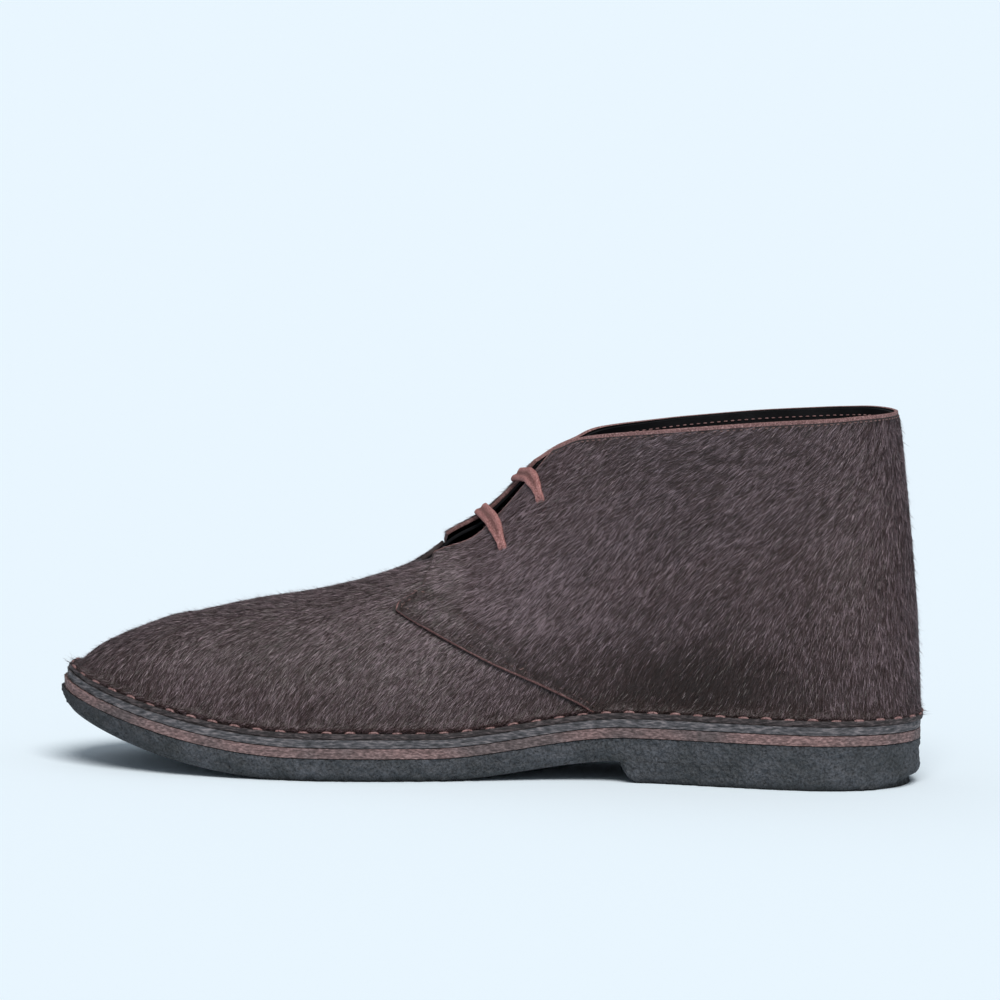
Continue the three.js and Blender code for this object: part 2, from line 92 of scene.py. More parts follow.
BREAST_FOOT, BREAST_LEAN = 61, 3
HEEL_POWER, TOE_POWER = 2.1, 2.05
SHOULDER_POWER, TOE_SHOULDER, COLLAR_POWER = 2.25, 1.05, 1.5
THROAT_HALF, THROAT_TOP_HALF = 8, 11
THROAT_ROUND, THROAT_BEHIND, THROAT_FLOOR = 5, 14, 0.5
EYELET_RADIUS = 2.3
LACE_WIDTH, LACE_THICK, LACE_SKEW = 5.4, 2, 12
TONGUE_THICK, TONGUE_ARCH = 1.8, 11
TONGUE_HALF, TONGUE_TOP_HALF, TONGUE_END, TONGUE_END_SLOPE = 21, 25, 0.82, 1.2

SOLE = {
    "at": [0.127, 0.21, 0.293, 0.343, 0.393, 0.443, 0.51, 0.58, 0.635, 0.693],
    "medial": [0.328, 0.299, 0.258, 0.252, 0.262, 0.292, 0.348, 0.407, 0.443, 0.46],
    "lateral": [0.333, 0.335, 0.345, 0.36, 0.385, 0.43, 0.49, 0.533, 0.546, 0.54],
}
LAST = {
    "at": [
        0.127, 0.21, 0.293, 0.343, 0.393, 0.443, 0.51, 0.552, 0.585, 0.627, 0.693, 0.77, 0.82,
        0.838, 0.843,
    ],
    "ridge": [
        5.3, 4.6, 3.5, 2.5, 1.88, 1.575, 1.255, 1.14, 0.998, 0.903, 0.808, 0.714, 0.617, 0.576, 0.562
    ],
    "lean": [
        0, 0, -0.01, -0.02, -0.032, -0.08, -0.105, -0.08, -0.03, 0, 0.03, 0.05, 0.061, 0.064, 0.065
    ],
    "collar": [
        0.47, 0.5, 0.5, 0.485, 0.46, 0.46, 0.48, 0.51, 0.56, 0.62, 0.66, 0.66, 0.62, 0.605, 0.6
    ],
    "full": [3, 3, 2.8, 2.6, 4, 3.4, 2, 1.7, 2, 2, 2, 2, 2, 2, 2],
    "hollow": [1, 1, 0.8, 0.5, 0.2, 0, 0, 0, 0, 0, 0, 0, 0, 0, 0],
}
COLLAR_EDGE = {
    "at": [-0.2, 0.03, 0.1, 0.19, 0.27, 0.31, 0.37, 0.395, 0.413, 0.433, 0.45],
    "rise": [1.003, 1, 0.99, 0.972, 0.95, 0.938, 0.925, 0.919, 0.9, 0.883, 0.858],
}
QUARTER_EDGE = {
    "at": [0.34, 0.374, 0.43, 0.484, 0.542, 0.59, 0.598, 0.589, 0.573, 0.566, 0.56],
    "rise": [-0.1, 0.053, 0.24, 0.41, 0.585, 0.722, 0.76, 0.81, 0.86, 0.95, 1.3],
}
TONGUE_CROWN = {
    "at": [0.645, 0.61, 0.58, 0.55, 0.515, 0.48, 0.445, 0.415],
    "rise": [0.845, 0.883, 0.905, 0.985, 1.1, 1.24, 1.4, 1.57],
}
EYELETS = {"at": [0.475, 0.432], "inset": [0.111, 0.102]}
THROAT_AT, COLLAR_FRONT_AT = 0.582, 0.395

ARCH_RISE = HEEL_BLOCK + GAP
MIDSOLE_FOOT = CREPE_SHEET + GAP
RUNNER_FOOT = MIDSOLE_FOOT + MIDSOLE + GAP
UPPER_FOOT = RUNNER_FOOT + RUNNER + GAP
COLLAR_RISE = UPPER_TOP - ARCH_RISE - UPPER_FOOT
CAP_HEIGHT = UPPER_TOP + 20
print(f"sole {SOLE_LENGTH:.1f} mm long, collar {UPPER_TOP:.1f} mm high")

# %% [markdown]
# Two kinds of smooth line join the rows of a table. One reads a column as a function of
# X, the other runs through points in side view. Both are cubics whose slope at a row is
# taken from its neighbours, which keeps them close to the rows.

# %% Smooth lines through tables
def along(share):
    """Distance from the origin of a place given as a share of the sole's length."""
    return HEEL_END + np.asarray(share, float) * SOLE_LENGTH


def cubic(part, start, end, slope_start, slope_end):
    """The cubic from start to end that has these slopes at its two ends."""
    rest = 1 - part
    fixed = (1 + 2 * part) * rest**2 * start + part**2 * (3 - 2 * part) * end
    return fixed + part * rest**2 * slope_start - part**2 * rest * slope_end


def column(table, name):
    """One column as a function of X: the slope at a row is the mean of those on its two
    sides, and nought at both ends."""
    x = along(table["at"])
    values = np.array(table[name], float)
    steps = np.diff(values) / np.diff(x)
    slopes = np.concatenate([[0], (steps[1:] + steps[:-1]) / 2, [0]])

    def read(at):
        at = np.clip(at, x[0], x[-1])
        i = np.clip(np.searchsorted(x, at, side="right") - 1, 0, len(x) - 2)
        run = x[i + 1] - x[i]
        part = (at - x[i]) / run
        return cubic(part, values[i], values[i + 1], slopes[i] * run, slopes[i + 1] * run)

    return read


def through(points, count):
    """An even curve through points: the slope at a point is half the way between its two
    neighbours."""
    points = np.asarray(points, float)
    last = len(points) - 1
    place = np.linspace(0, last, count)
    i = np.minimum(place.astype(int), last - 1)
    before = points[np.maximum(i - 1, 0)]
    start, end = points[i], points[i + 1]
    after = points[np.minimum(i + 2, last)]
    return cubic((place - i)[:, None], start, end, (end - before) / 2, (after - start) / 2)


sole_medial = column(SOLE, "medial")
sole_lateral = column(SOLE, "lateral")
last_line = {name: column(LAST, name) for name in LAST if name != "at"}
TOE_CENTRE = along(SOLE["at"][-1])
FAN_CENTRE = along(LAST["at"][-1])
TOE_MIDDLE = float(last_line["lean"](FAN_CENTRE)) * BALL_WIDTH
print(f"toe curve starts at {TOE_CENTRE:.1f} mm, its fan is centred at {FAN_CENTRE:.1f} mm")

# %% [markdown]
# The sole is not flat: it lifts off the floor at the arch and again towards the toe.
# Every layer follows the same line, so one function of X carries them all.

# %% Heights of the sole's layers
def lift(x):
    """Underside of the crepe sheet: a soft step at the arch plus a square curve at the toe."""
    part = np.clip((x - ARCH_BACK) / (ARCH_FRONT - ARCH_BACK), 0, 1)
    arch = ARCH_RISE * (1 - part**2 * (3 - 2 * part))
    spring = TOE_SPRING * (np.maximum(0, x - SPRING_START) / (TOE_END - SPRING_START)) ** 2
    return arch + spring


def foot_line(x, height):
    """A height over the underside, brought down as the crepe thins towards the toe."""
    part = np.maximum(0, x - THINNING_START) / (TOE_END - THINNING_START)
    return lift(x) + height - CREPE_TOE_THINNING * part**2


def upper_base(x):
    """Height of the upper's foot."""
    return foot_line(x, UPPER_FOOT)


def side_points(table, size):
    """A table's places in side view, as columns X and Z."""
    x = along(table["at"])
    return np.stack([x, upper_base(x) + np.array(table["rise"]) * size], axis=1)


print(f"the upper's foot is {float(upper_base(0)):.1f} mm up at the heel")

# %% [markdown]
# The plan of the sole is a rounded square at the heel and at the toe, with the table's
# widths between them. A ray starts on the foot's middle line and runs outwards until it
# leaves that plan, and halving the interval forty times finds the place for all rays
# at once.

# %% Plan of the sole, and how far rays reach in it
def inside_plan(x, y, heel=0.0, side=0.0, toe=0.0):
    """True inside the plan moved in by heel, side and toe: (x/a)^p + (y/b)^p < 1 at the two
    ends and |y| under the table's width between them."""
    half = np.where(y > 0, sole_medial(x), sole_lateral(x)) * BALL_WIDTH - side
    back = np.abs(np.minimum(x, 0) / (-HEEL_END - heel)) ** HEEL_POWER
    back = back + np.abs(y / half) ** HEEL_POWER < 1
    inner = sole_medial(TOE_CENTRE) * BALL_WIDTH - TOE_MIDDLE
    outer = sole_lateral(TOE_CENTRE) * BALL_WIDTH + TOE_MIDDLE
    across = np.where(y > TOE_MIDDLE, inner, outer) - side
    front = (np.maximum(x - TOE_CENTRE, 0) / (TOE_END - TOE_CENTRE - toe)) ** TOE_POWER
    front = front + np.abs((y - TOE_MIDDLE) / across) ** TOE_POWER < 1
    return np.where(x < 0, back, np.where(x < TOE_CENTRE, np.abs(y) < half, front))


def reach(x, y, dx, dy, **inset):
    """Distance along each ray to the edge of the plan, by halving the interval."""
    near = np.zeros_like(dx)
    far = np.full_like(dx, BALL_WIDTH)
    for _ in range(40):
        middle = (near + far) / 2
        inside = inside_plan(x + dx * middle, y + dy * middle, **inset)
        near = np.where(inside, middle, near)
        far = np.where(inside, far, middle)
    return near


# %% [markdown]
# The last, the form that the upper is pulled over, is a surface of two parameters: the
# ray round the foot and the level up it. Rays fan out round the heel and the toe and
# run straight across the boot between them. They stand closer where a cut edge turns
# sharply, at the front of the throat and at the tip of the quarter.

# %% Rays round the foot
HEEL_RAYS, SIDE_RAYS, TOE_RAYS, LEVELS = 28, 118, 40, 130
THROAT_FRONT = float(along(THROAT_AT))
quarter_line = through(side_points(QUARTER_EDGE, INSTEP_RISE), 400)
tip_index = int(quarter_line[:, 0].argmax())
QUARTER_TIP = quarter_line[tip_index, 0]


def ray_stations():
    """X of the rays that cross the boot: even steps, and quadratic ones behind the
    throat's front and the quarter's tip."""
    even = np.linspace(0, FAN_CENTRE, SIDE_RAYS + 2)[1:-1]
    close = np.linspace(0.06, 1, 12) ** 2
    stations = np.sort(np.concatenate([even, THROAT_FRONT - 6 * close, QUARTER_TIP - 0.05 - 5 * close]))
    wanted = np.concatenate([[True], np.diff(stations) > 0.12])
    return stations[wanted]


def make_rays():
    """Origin and direction of every ray, in order from the heel's back by the inner side,
    the toe and the outer side to the heel again."""
    stations = ray_stations()
    heel = np.linspace(1, 0.5, HEEL_RAYS) * np.pi
    toe = np.linspace(0.5, -0.5, 2 * TOE_RAYS - 1) * np.pi
    lean = last_line["lean"](stations) * BALL_WIDTH
    up, down = np.ones_like(stations), -np.ones_like(stations)
    parts = [
        (0 * heel, 0 * heel, np.cos(heel), np.sin(heel)),
        (stations, lean, 0 * up, up),
        (0 * toe + FAN_CENTRE, 0 * toe + TOE_MIDDLE, np.cos(toe), np.sin(toe)),
        (stations[::-1], lean[::-1], 0 * down, down),
        (0 * heel[1:], 0 * heel[1:], np.cos(heel[1:]), -np.sin(heel[1:])),
    ]
    parts[-1] = tuple(values[::-1] for values in parts[-1])
    columns = [np.concatenate(values) for values in zip(*parts)]
    return dict(zip(("x", "y", "dx", "dy"), columns))


ray = make_rays()
RAYS = len(ray["x"])
ray["edge"] = reach(ray["x"], ray["y"], ray["dx"], ray["dy"])
ray["foot"] = reach(
    ray["x"], ray["y"], ray["dx"], ray["dy"], heel=HEEL_FLANGE, side=FLANGE_REACH, toe=TOE_FLANGE
)
ray["flange"] = ray["edge"] - ray["foot"]
ray["rim"] = reach(
    ray["x"], ray["y"], ray["dx"], ray["dy"],
    heel=FLANGE_TRIM, side=FLANGE_TRIM, toe=TOE_SETBACK["flange"],
)
ray["base"] = upper_base(ray["x"] + ray["dx"] * ray["foot"])
ray["rise"] = upper_base(ray["x"]) + last_line["ridge"](ray["x"]) * INSTEP_RISE - ray["base"]
half_collar = last_line["collar"](ray["x"]) * COLLAR_WIDTH
straight_ray = np.abs(ray["dx"]) < 1e-9
heel_collar = 1 / np.hypot(ray["dx"] / COLLAR_REACH, ray["dy"] / half_collar)
ray["collar"] = np.where(straight_ray, half_collar - ray["dy"] * ray["y"], heel_collar)
ray["collar"] = np.where(~straight_ray & (ray["x"] > 0), ray["foot"], ray["collar"])
print(RAYS, "rays round the foot")

# %% The last as a grid of points
def distance(height):
    """Distance from each ray's axis to the last at a height over its foot: a line from
    foot to collar with a swell and a hollow, closed towards the ridge like a rounded
    square and swept out at the foot by an exponential."""
    full, hollow = (last_line[name](ray["x"])[:, None] for name in ("full", "hollow"))
    dx, dy = ray["dx"][:, None], ray["dy"][:, None]
    share = np.minimum(1, height / COLLAR_RISE)
    straight = ray["foot"][:, None] + (ray["collar"] - ray["foot"])[:, None] * share**COLLAR_POWER
    swell = hollow * ANKLE_HOLLOW * np.abs(dy) * np.sin(2 * np.pi * share)
    forward = np.maximum(0, dx) ** 2 * (ray["x"][:, None] > 0)
    shoulder = SHOULDER_POWER + (TOE_SHOULDER - SHOULDER_POWER) * forward
    closing = np.maximum(0, 1 - (height / ray["rise"][:, None]) ** full) ** (1 / shoulder)
    flare = FLARE_SHARE * ray["flange"][:, None] * np.exp(-height / FLARE_HEIGHT)
    return (straight + swell) * closing + flare * np.minimum(1, 2 * closing)


def last_grid():
    """Points of the last, ray by level: the level's height is top * sin(level)."""
    top = np.minimum(ray["rise"], CAP_HEIGHT - ray["base"])[:, None]
    height = top * np.sin(np.linspace(0, 0.5, LEVELS) * np.pi)
    out = distance(height)
    x = ray["x"][:, None] + ray["dx"][:, None] * out
    y = ray["y"][:, None] + ray["dy"][:, None] * out
    return np.stack([x, y, ray["base"][:, None] + height], axis=2), height


def grid_faces(rows, columns, closed=False):
    """Two triangles for each cell of a grid, facing out when rows run clockwise seen
    from above and columns run up."""
    i, j = np.meshgrid(np.arange(rows if closed else rows - 1), np.arange(columns - 1), indexing="ij")
    a = i * columns + j
    b = (i + 1) % rows * columns + j
    cells = np.stack([a, a + 1, b + 1, a, b + 1, b], axis=2)
    return cells.reshape(-1, 3)


def weld(points):
    """For each point, the first point at the same place to a hundredth of a millimetre."""
    _, first, back = np.unique(np.round(points, 2) + 0.0, axis=0, return_index=True, return_inverse=True)
    return first[np.ravel(back)]


def outward(points, faces):
    """Unit directions away from a surface: the faces' area vectors added at their corners."""
    same = weld(points)
    a, b, c = (points[faces[:, k]] for k in range(3))
    area = np.cross(b - a, c - a)
    total = np.zeros_like(points)
    for k in range(3):
        np.add.at(total, same[faces[:, k]], area)
    total = total[same]
    return total / np.maximum(np.linalg.norm(total, axis=1, keepdims=True), 1e-9)


skin, level_height = last_grid()
skin_faces = grid_faces(RAYS, LEVELS, closed=True)
away = outward(skin.reshape(-1, 3), skin_faces).reshape(skin.shape)
print("last:", skin.shape[0], "by", skin.shape[1], "points")

# %% [markdown]
# Leather is never quite smooth. Seams pull it down, and the vamp bends behind the toes.
# Each soft trough or ridge below is placed in the boot's own sizes: where its
# middle lies in side view, how it slants, how long and wide it is, and how deep.

# %% Seam lines and soft folds
SEAM_INSET = 1.9
BAR_ROW = {
    "at": [0.582, 0.56, 0.51, 0.468, 0.447, 0.455],
    "rise": [0.845, 0.82, 0.655, 0.5, 0.385, 0.345],
}
FOLDS = {
    "at": [0.70, 0.655, 0.56, 0.40, 0.27, 0.16, 0.80],
    "height": [0.33, 0.38, 0.40, 0.52, 0.60, 0.45, 0.22],
    "slant": [62, 55, 48, 35, 12, 80, 40],
    "length": [26, 24, 30, 34, 42, 36, 22],
    "width": [7, 6, 9, 10, 13, 14, 9],
    "depth": [0.5, 0.45, 0.5, 0.6, 0.7, 0.6, 0.4],
}


def seam_lines():
    """The quarter's stitch rows in side view: one just inside its edge, and the bar row
    that closes the double layer behind it."""
    run = np.gradient(quarter_line, axis=0)
    run /= np.linalg.norm(run, axis=1, keepdims=True)
    inward = np.stack([-run[:, 1], run[:, 0]], axis=1)
    edge_row = (quarter_line + SEAM_INSET * inward)[12:tip_index + 70]
    return edge_row, through(side_points(BAR_ROW, INSTEP_RISE), 120)


def line_distance(x, z, line):
    """Distance in side view from every point to the nearest of a line's points."""
    nearest = np.full(x.shape, 1e9)
    for px, pz in line[::3]:
        nearest = np.minimum(nearest, (x - px) ** 2 + (z - pz) ** 2)
    return np.sqrt(nearest)


def fold_depth(x, z):
    """Sum of the folds: each is a bell across its slanted line and along it."""
    total = np.zeros_like(x)
    for at, height, slant, length, width, depth in zip(*FOLDS.values()):
        turn = np.radians(slant)
        dx, dz = x - along(at), z - height * UPPER_TOP
        run = dx * np.cos(turn) - dz * np.sin(turn)
        over = dx * np.sin(turn) + dz * np.cos(turn)
        bell = np.exp(-((over / width) ** 2) - (run / length) ** 2)
        total += depth * bell * np.cos(1.6 * over / width)
    return total


edge_row, bar_row = seam_lines()
bar_near = line_distance(skin[..., 0], skin[..., 2], bar_row)
seam_near = np.minimum(bar_near, line_distance(skin[..., 0], skin[..., 2], edge_row))
pull = 0.95 * np.exp(-((seam_near / 1.1) ** 2)) + fold_depth(skin[..., 0], skin[..., 2])
skin = skin - away * (pull * np.minimum(1, level_height / 12))[..., None]
away = outward(skin.reshape(-1, 3), skin_faces).reshape(skin.shape)
print(f"deepest trough {pull.max():.2f} mm")

# %% [markdown]
# Panels are cut from the last. A margin is positive inside a panel, and where it changes
# sign along a ray lies the panel's edge. The cut is found between the levels by straight
# interpolation, so that edges come out smooth.

# %% Margins and samples
def sample(field, u, v):
    """A grid's value at ray u and level v, blended from the four points around it."""
    rays, levels = field.shape[:2]
    i = np.floor(u).astype(int)
    f = (u - i)[..., None]
    j = np.clip(np.floor(v).astype(int), 0, levels - 2)
    g = (np.clip(v, 0, levels - 1) - j)[..., None]
    i, k = i % rays, (i + 1) % rays
    low = field[i, j] * (1 - f) + field[k, j] * f
    high = field[i, j + 1] * (1 - f) + field[k, j + 1] * f
    return low * (1 - g) + high * g


def throat_half(x):
    """Half the width of the opening between the facings."""
    share = np.maximum(0, THROAT_FRONT - x) / (THROAT_FRONT - along(COLLAR_FRONT_AT))
    return THROAT_HALF + (THROAT_TOP_HALF - THROAT_HALF) * share**2


def throat_margin(points):
    """How far each grid point lies outside the throat: behind a rounded front, by its
    width. Going up a ray, what lies beyond the opening counts as open too."""
    x, y, z = np.moveaxis(points, -1, 0)
    back = np.clip((THROAT_FRONT - x) / THROAT_ROUND, 0, 1)
    half = np.where(back > 0, throat_half(x) * np.sqrt(1 - (1 - back) ** 2), -1)
    open_here = (z > UPPER_FOOT + THROAT_FLOOR * INSTEP_RISE) & (x > along(COLLAR_FRONT_AT) - THROAT_BEHIND)
    margin = np.where(open_here, np.abs(y) - half, 50)
    passed = np.maximum.accumulate(margin < 0, axis=1)
    return np.where(passed & (margin > 0), -1, margin)


collar_line = through(side_points(COLLAR_EDGE, COLLAR_RISE), 300)
low_edge = quarter_line[: tip_index + 1]
high_edge = quarter_line[tip_index:][::-1]


def collar_margin(points):
    """How far a point lies under the collar's edge."""
    return np.interp(points[..., 0], *collar_line.T) - points[..., 2]


def quarter_margin(points, shift=0.0):
    """How far a point lies inside the quarter, in side view, moved back by shift."""
    x, z = points[..., 0] + shift, points[..., 2]
    low = np.interp(x, *low_edge.T, left=-99)
    high = np.interp(x, *high_edge.T, left=999)
    return np.where(x < QUARTER_TIP, np.minimum(z - low, high - z), -50)


def cut_levels(margin):
    """First and last level inside each ray, and which rays have any inside."""
    inside = margin > 0
    rows = np.arange(RAYS)
    first = inside.argmax(1)
    last = LEVELS - 1 - inside[:, ::-1].argmax(1)
    before, after = np.maximum(first - 1, 0), np.minimum(last + 1, LEVELS - 1)
    low = first - margin[rows, first] / np.maximum(margin[rows, first] - margin[rows, before], 1e-6)
    high = last + margin[rows, last] / np.maximum(margin[rows, last] - margin[rows, after], 1e-6)
    low = np.where(first > 0, np.clip(low, before, first), 0)
    high = np.where(last < LEVELS - 1, np.clip(high, last, after), LEVELS - 1)
    return low, high, inside.any(1)


FOOT_MARGIN = 1.2
above_foot = level_height - FOOT_MARGIN
outer_skin = skin + QUARTER_STEP * away
opening_margin = np.minimum(collar_margin(outer_skin), throat_margin(outer_skin))
quarter_field = np.minimum(np.minimum(opening_margin, quarter_margin(outer_skin)), above_foot)
vamp_throat = np.where(skin[..., 0] < THROAT_FRONT, throat_margin(skin), 50)
under_lap = skin[..., 0] + QUARTER_LAP > QUARTER_TIP
lap_margin = np.interp(skin[..., 0] + QUARTER_LAP, *low_edge.T, left=-99) - skin[..., 2]
lap_margin = np.where(under_lap, 50, lap_margin)
vamp_field = np.minimum(np.minimum(vamp_throat, lap_margin), above_foot)
print("quarter covers", int((quarter_field > 0).sum()), "grid points, vamp", int((vamp_field > 0).sum()))

# %% [markdown]
# Every finish is a small node network. Patterns are read from Object coordinates turned
# into millimetres, so a grain of one millimetre is written as 1. Three helpers keep the
# materials short: one adds noise, one turns a value into colours, one adds bumps.

# %% Helpers for materials
def new_finish(name, roughness, **sockets):
    """A material with its shader's sockets set, and a mapping that gives millimetres."""
    material = bpy.data.materials.new(name)
    material.use_nodes = True
    nodes, links = material.node_tree.nodes, material.node_tree.links
    shader = nodes["Principled BSDF"]
    shader.inputs["Roughness"].default_value = roughness
    for socket, value in sockets.items():
        shader.inputs[socket.replace("_", " ")].default_value = value
    place = nodes.new("ShaderNodeTexCoord")
    scale = nodes.new("ShaderNodeMapping")
    scale.inputs["Scale"].default_value = (1 / MM,) * 3
    links.new(place.outputs["Object"], scale.inputs["Vector"])
    return material, nodes, links, shader, scale.outputs["Vector"]


def add_noise(nodes, links, vector, size, detail=4.0, stretch=(1, 1, 1)):
    """Noise whose grains are size millimetres across, or longer where stretched."""
    scale = nodes.new("ShaderNodeMapping")
    scale.inputs["Scale"].default_value = tuple(1 / (size * s) for s in stretch)
    links.new(vector, scale.inputs["Vector"])
    noise = nodes.new("ShaderNodeTexNoise")
    noise.inputs["Scale"].default_value = 1
    noise.inputs["Detail"].default_value = detail
    links.new(scale.outputs["Vector"], noise.inputs["Vector"])
    return noise.outputs["Fac"]


def add_ramp(nodes, links, value, stops):
    """Colours along a value: each stop is a position and a colour."""
    ramp = nodes.new("ShaderNodeValToRGB")
    elements = ramp.color_ramp.elements
    for _ in stops[2:]:
        elements.new(0.5)
    for element, (position, colour) in zip(elements, stops):
        element.position = position
        element.color = (*colour, 1)
    links.new(value, ramp.inputs["Fac"])
    return ramp.outputs["Color"]


def add_mix(nodes, links, kind, first, second, share=1.0):
    """Two colours mixed, multiplied or added; share is a number or a value."""
    mix = nodes.new("ShaderNodeMix")
    mix.data_type = "RGBA"
    mix.blend_type = kind
    if isinstance(share, float):
        mix.inputs["Factor"].default_value = share
    else:
        links.new(share, mix.inputs["Factor"])
    links.new(first, mix.inputs["A"])
    links.new(second, mix.inputs["B"])
    return mix.outputs["Result"]


def add_bump(nodes, links, shader, value, height, below=None):
    """Bumps of a height in millimetres on the shader's normal."""
    bump = nodes.new("ShaderNodeBump")
    bump.inputs["Distance"].default_value = height * MM
    bump.inputs["Strength"].default_value = 1
    links.new(value, bump.inputs["Height"])
    if below is not None:
        links.new(below, bump.inputs["Normal"])
    links.new(bump.outputs["Normal"], shader.inputs["Normal"])
    return bump.outputs["Normal"]


def add_rise(nodes, links, place, axis, start, end):
    """A value from 0 to 1 as one coordinate goes from start to end, in millimetres."""
    parts = nodes.new("ShaderNodeSeparateXYZ")
    links.new(place, parts.inputs["Vector"])
    part = nodes.new("ShaderNodeMapRange")
    part.inputs["From Min"].default_value = start
    part.inputs["From Max"].default_value = end
    links.new(parts.outputs[axis], part.inputs["Value"])
    return part.outputs["Result"]


def srgb(red, green, blue):
    """A colour given in the eight-bit values of a screen, as linear light."""
    value = np.array([red, green, blue]) / 255
    linear = np.where(value <= 0.04045, value / 12.92, ((value + 0.055) / 1.055) ** 2.4)
    return tuple(float(part) for part in linear)


# %% [markdown]
# The coat is dark brown with a cool grey bloom where the light grazes it. Each strand
# carries two numbers: tone, from dark to pale, and along, from root to tip. Roots are
# painted darker than tips, as painted shade deep in the coat.

# %% Finishes of the upper
def coat_finish():
    """Strand colour: a ramp of tone, darkened towards the root by painted shade."""
    material, nodes, links, shader, _ = new_finish(
        "hair_coat", 0.42, Specular_IOR_Level=0.5, Sheen_Weight=0.1, Sheen_Roughness=0.5
    )
    shader.inputs["Sheen Tint"].default_value = (*srgb(200, 190, 205), 1)
    tone = nodes.new("ShaderNodeAttribute")
    tone.attribute_name = "tone"
    colour = add_ramp(nodes, links, tone.outputs["Fac"], [
        (0.0, srgb(42, 25, 20)),
        (0.35, srgb(66, 47, 45)),
        (0.65, srgb(98, 80, 84)),
        (1.0, srgb(164, 143, 150)),
    ])
    run = nodes.new("ShaderNodeAttribute")
    run.attribute_name = "along"
    # Painted shade: each strand is darkened towards its root.
    depth = add_ramp(nodes, links, run.outputs["Fac"], [(0.0, (0.3,) * 3), (0.6, (1.0,) * 3)])
    links.new(add_mix(nodes, links, "MULTIPLY", colour, depth), shader.inputs["Base Color"])
    return material


def hide_finish():
    """The skin under the coat, dark and mottled."""
    material, nodes, links, shader, place = new_finish("hide", 0.7)
    mottle = add_noise(nodes, links, place, 6)
    colour = add_ramp(nodes, links, mottle, [(0.3, srgb(36, 27, 26)), (0.7, srgb(58, 45, 45))])
    links.new(colour, shader.inputs["Base Color"])
    add_bump(nodes, links, shader, add_noise(nodes, links, place, 0.6), 0.15)
    return material


def raw_edge_finish():
    """The cut edge of the leather: pinkish brown fibres, paler where they fray. Painted
    shade darkens it lower down and leaves it full up at the collar."""
    material, nodes, links, shader, place = new_finish("raw_edge", 0.85)
    fibre = add_noise(nodes, links, place, 0.5, 6)
    colour = add_ramp(nodes, links, fibre, [
        (0.3, srgb(78, 50, 48)), (0.55, srgb(136, 100, 98)), (0.75, srgb(190, 156, 153)),
    ])
    # Painted shade: the edge is darkened lower down and kept full up at the collar.
    rise = add_rise(nodes, links, place, "Z", 70, 100)
    shade = add_ramp(nodes, links, rise, [(0.0, (0.7, 0.64, 0.64)), (1.0, (1.0,) * 3)])
    links.new(add_mix(nodes, links, "MULTIPLY", colour, shade), shader.inputs["Base Color"])
    add_bump(nodes, links, shader, fibre, 0.25)
    return material


def lining_finish(name, shine):
    """Black leather with a fine grain."""
    material, nodes, links, shader, place = new_finish(name, 0.6, Specular_IOR_Level=shine)
    mottle = add_noise(nodes, links, place, 9)
    colour = add_ramp(nodes, links, mottle, [(0.3, srgb(13, 13, 15)), (0.7, srgb(26, 26, 29))])
    links.new(colour, shader.inputs["Base Color"])
    add_bump(nodes, links, shader, add_noise(nodes, links, place, 0.8), 0.12)
    return material


def rubbed_edge_finish():
    """The rim of the turned-out edge: dark leather rubbed grey in streaks."""
    material, nodes, links, shader, place = new_finish("rubbed_edge", 0.8)
    streak = add_noise(nodes, links, place, 0.7, 6, (3.5, 3.5, 0.8))
    colour = add_ramp(nodes, links, streak, [
        (0.28, srgb(28, 23, 22)), (0.5, srgb(56, 49, 50)), (0.7, srgb(104, 92, 92)),
    ])
    links.new(colour, shader.inputs["Base Color"])
    add_bump(nodes, links, shader, streak, 0.4)
    return material


COAT, HIDE = coat_finish(), hide_finish()
RAW_EDGE, RUBBED_EDGE = raw_edge_finish(), rubbed_edge_finish()
LINING, TONGUE = lining_finish("lining", 0.12), lining_finish("tongue", 0.0)

# %% [markdown]
# A piece is put into Blender as whole arrays: points, triangles and the finish of each
# triangle. Its object stays at the origin with its place in its mesh, rides on the one
# body of the boot and hides the solids it stands for.

# %% Putting a piece into the scene
def add_piece(name, points, faces, finishes, slot, picks=None, stands_for=(), sharp=50, **values):
    """A mesh from arrays in millimetres. Loose points are dropped, and values are numbers
    carried by each point."""
    used, faces = np.unique(faces, return_inverse=True)
    faces = faces.reshape(-1, 3)
    mesh = bpy.data.meshes.new(name)
    mesh.vertices.add(len(used))
    mesh.vertices.foreach_set("co", (points[used] * MM).ravel())
    mesh.loops.add(faces.size)
    mesh.loops.foreach_set("vertex_index", faces.ravel())
    mesh.polygons.add(len(faces))
    mesh.polygons.foreach_set("loop_start", np.arange(0, faces.size, 3))
    for finish in finishes:
        mesh.materials.append(finish)
    if picks is not None:
        mesh.polygons.foreach_set("material_index", picks)
    mesh.polygons.foreach_set("use_smooth", np.ones(len(faces), bool))
    mesh.update(calc_edges=True)
    if sharp:
        mesh.set_sharp_from_angle(angle=np.radians(sharp))
    for key, value in values.items():
        mesh.attributes.new(key, "FLOAT", "POINT").data.foreach_set("value", value[used])
    piece = bpy.data.objects.new(name, mesh)
    bpy.context.scene.collection.objects.link(piece)
    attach(piece, "root")
    if stands_for:
        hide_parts(*stands_for)
    print(f"{name}: {len(used)} points, {len(faces)} triangles")
    return piece


def border(faces):
    """Directed edges that only one triangle uses."""
    edges = np.concatenate([faces[:, [0, 1]], faces[:, [1, 2]], faces[:, [2, 0]]])
    size = faces.max() + 1
    code, back = edges[:, 0] * size + edges[:, 1], edges[:, 1] * size + edges[:, 0]
    return edges[~np.isin(back, code)]


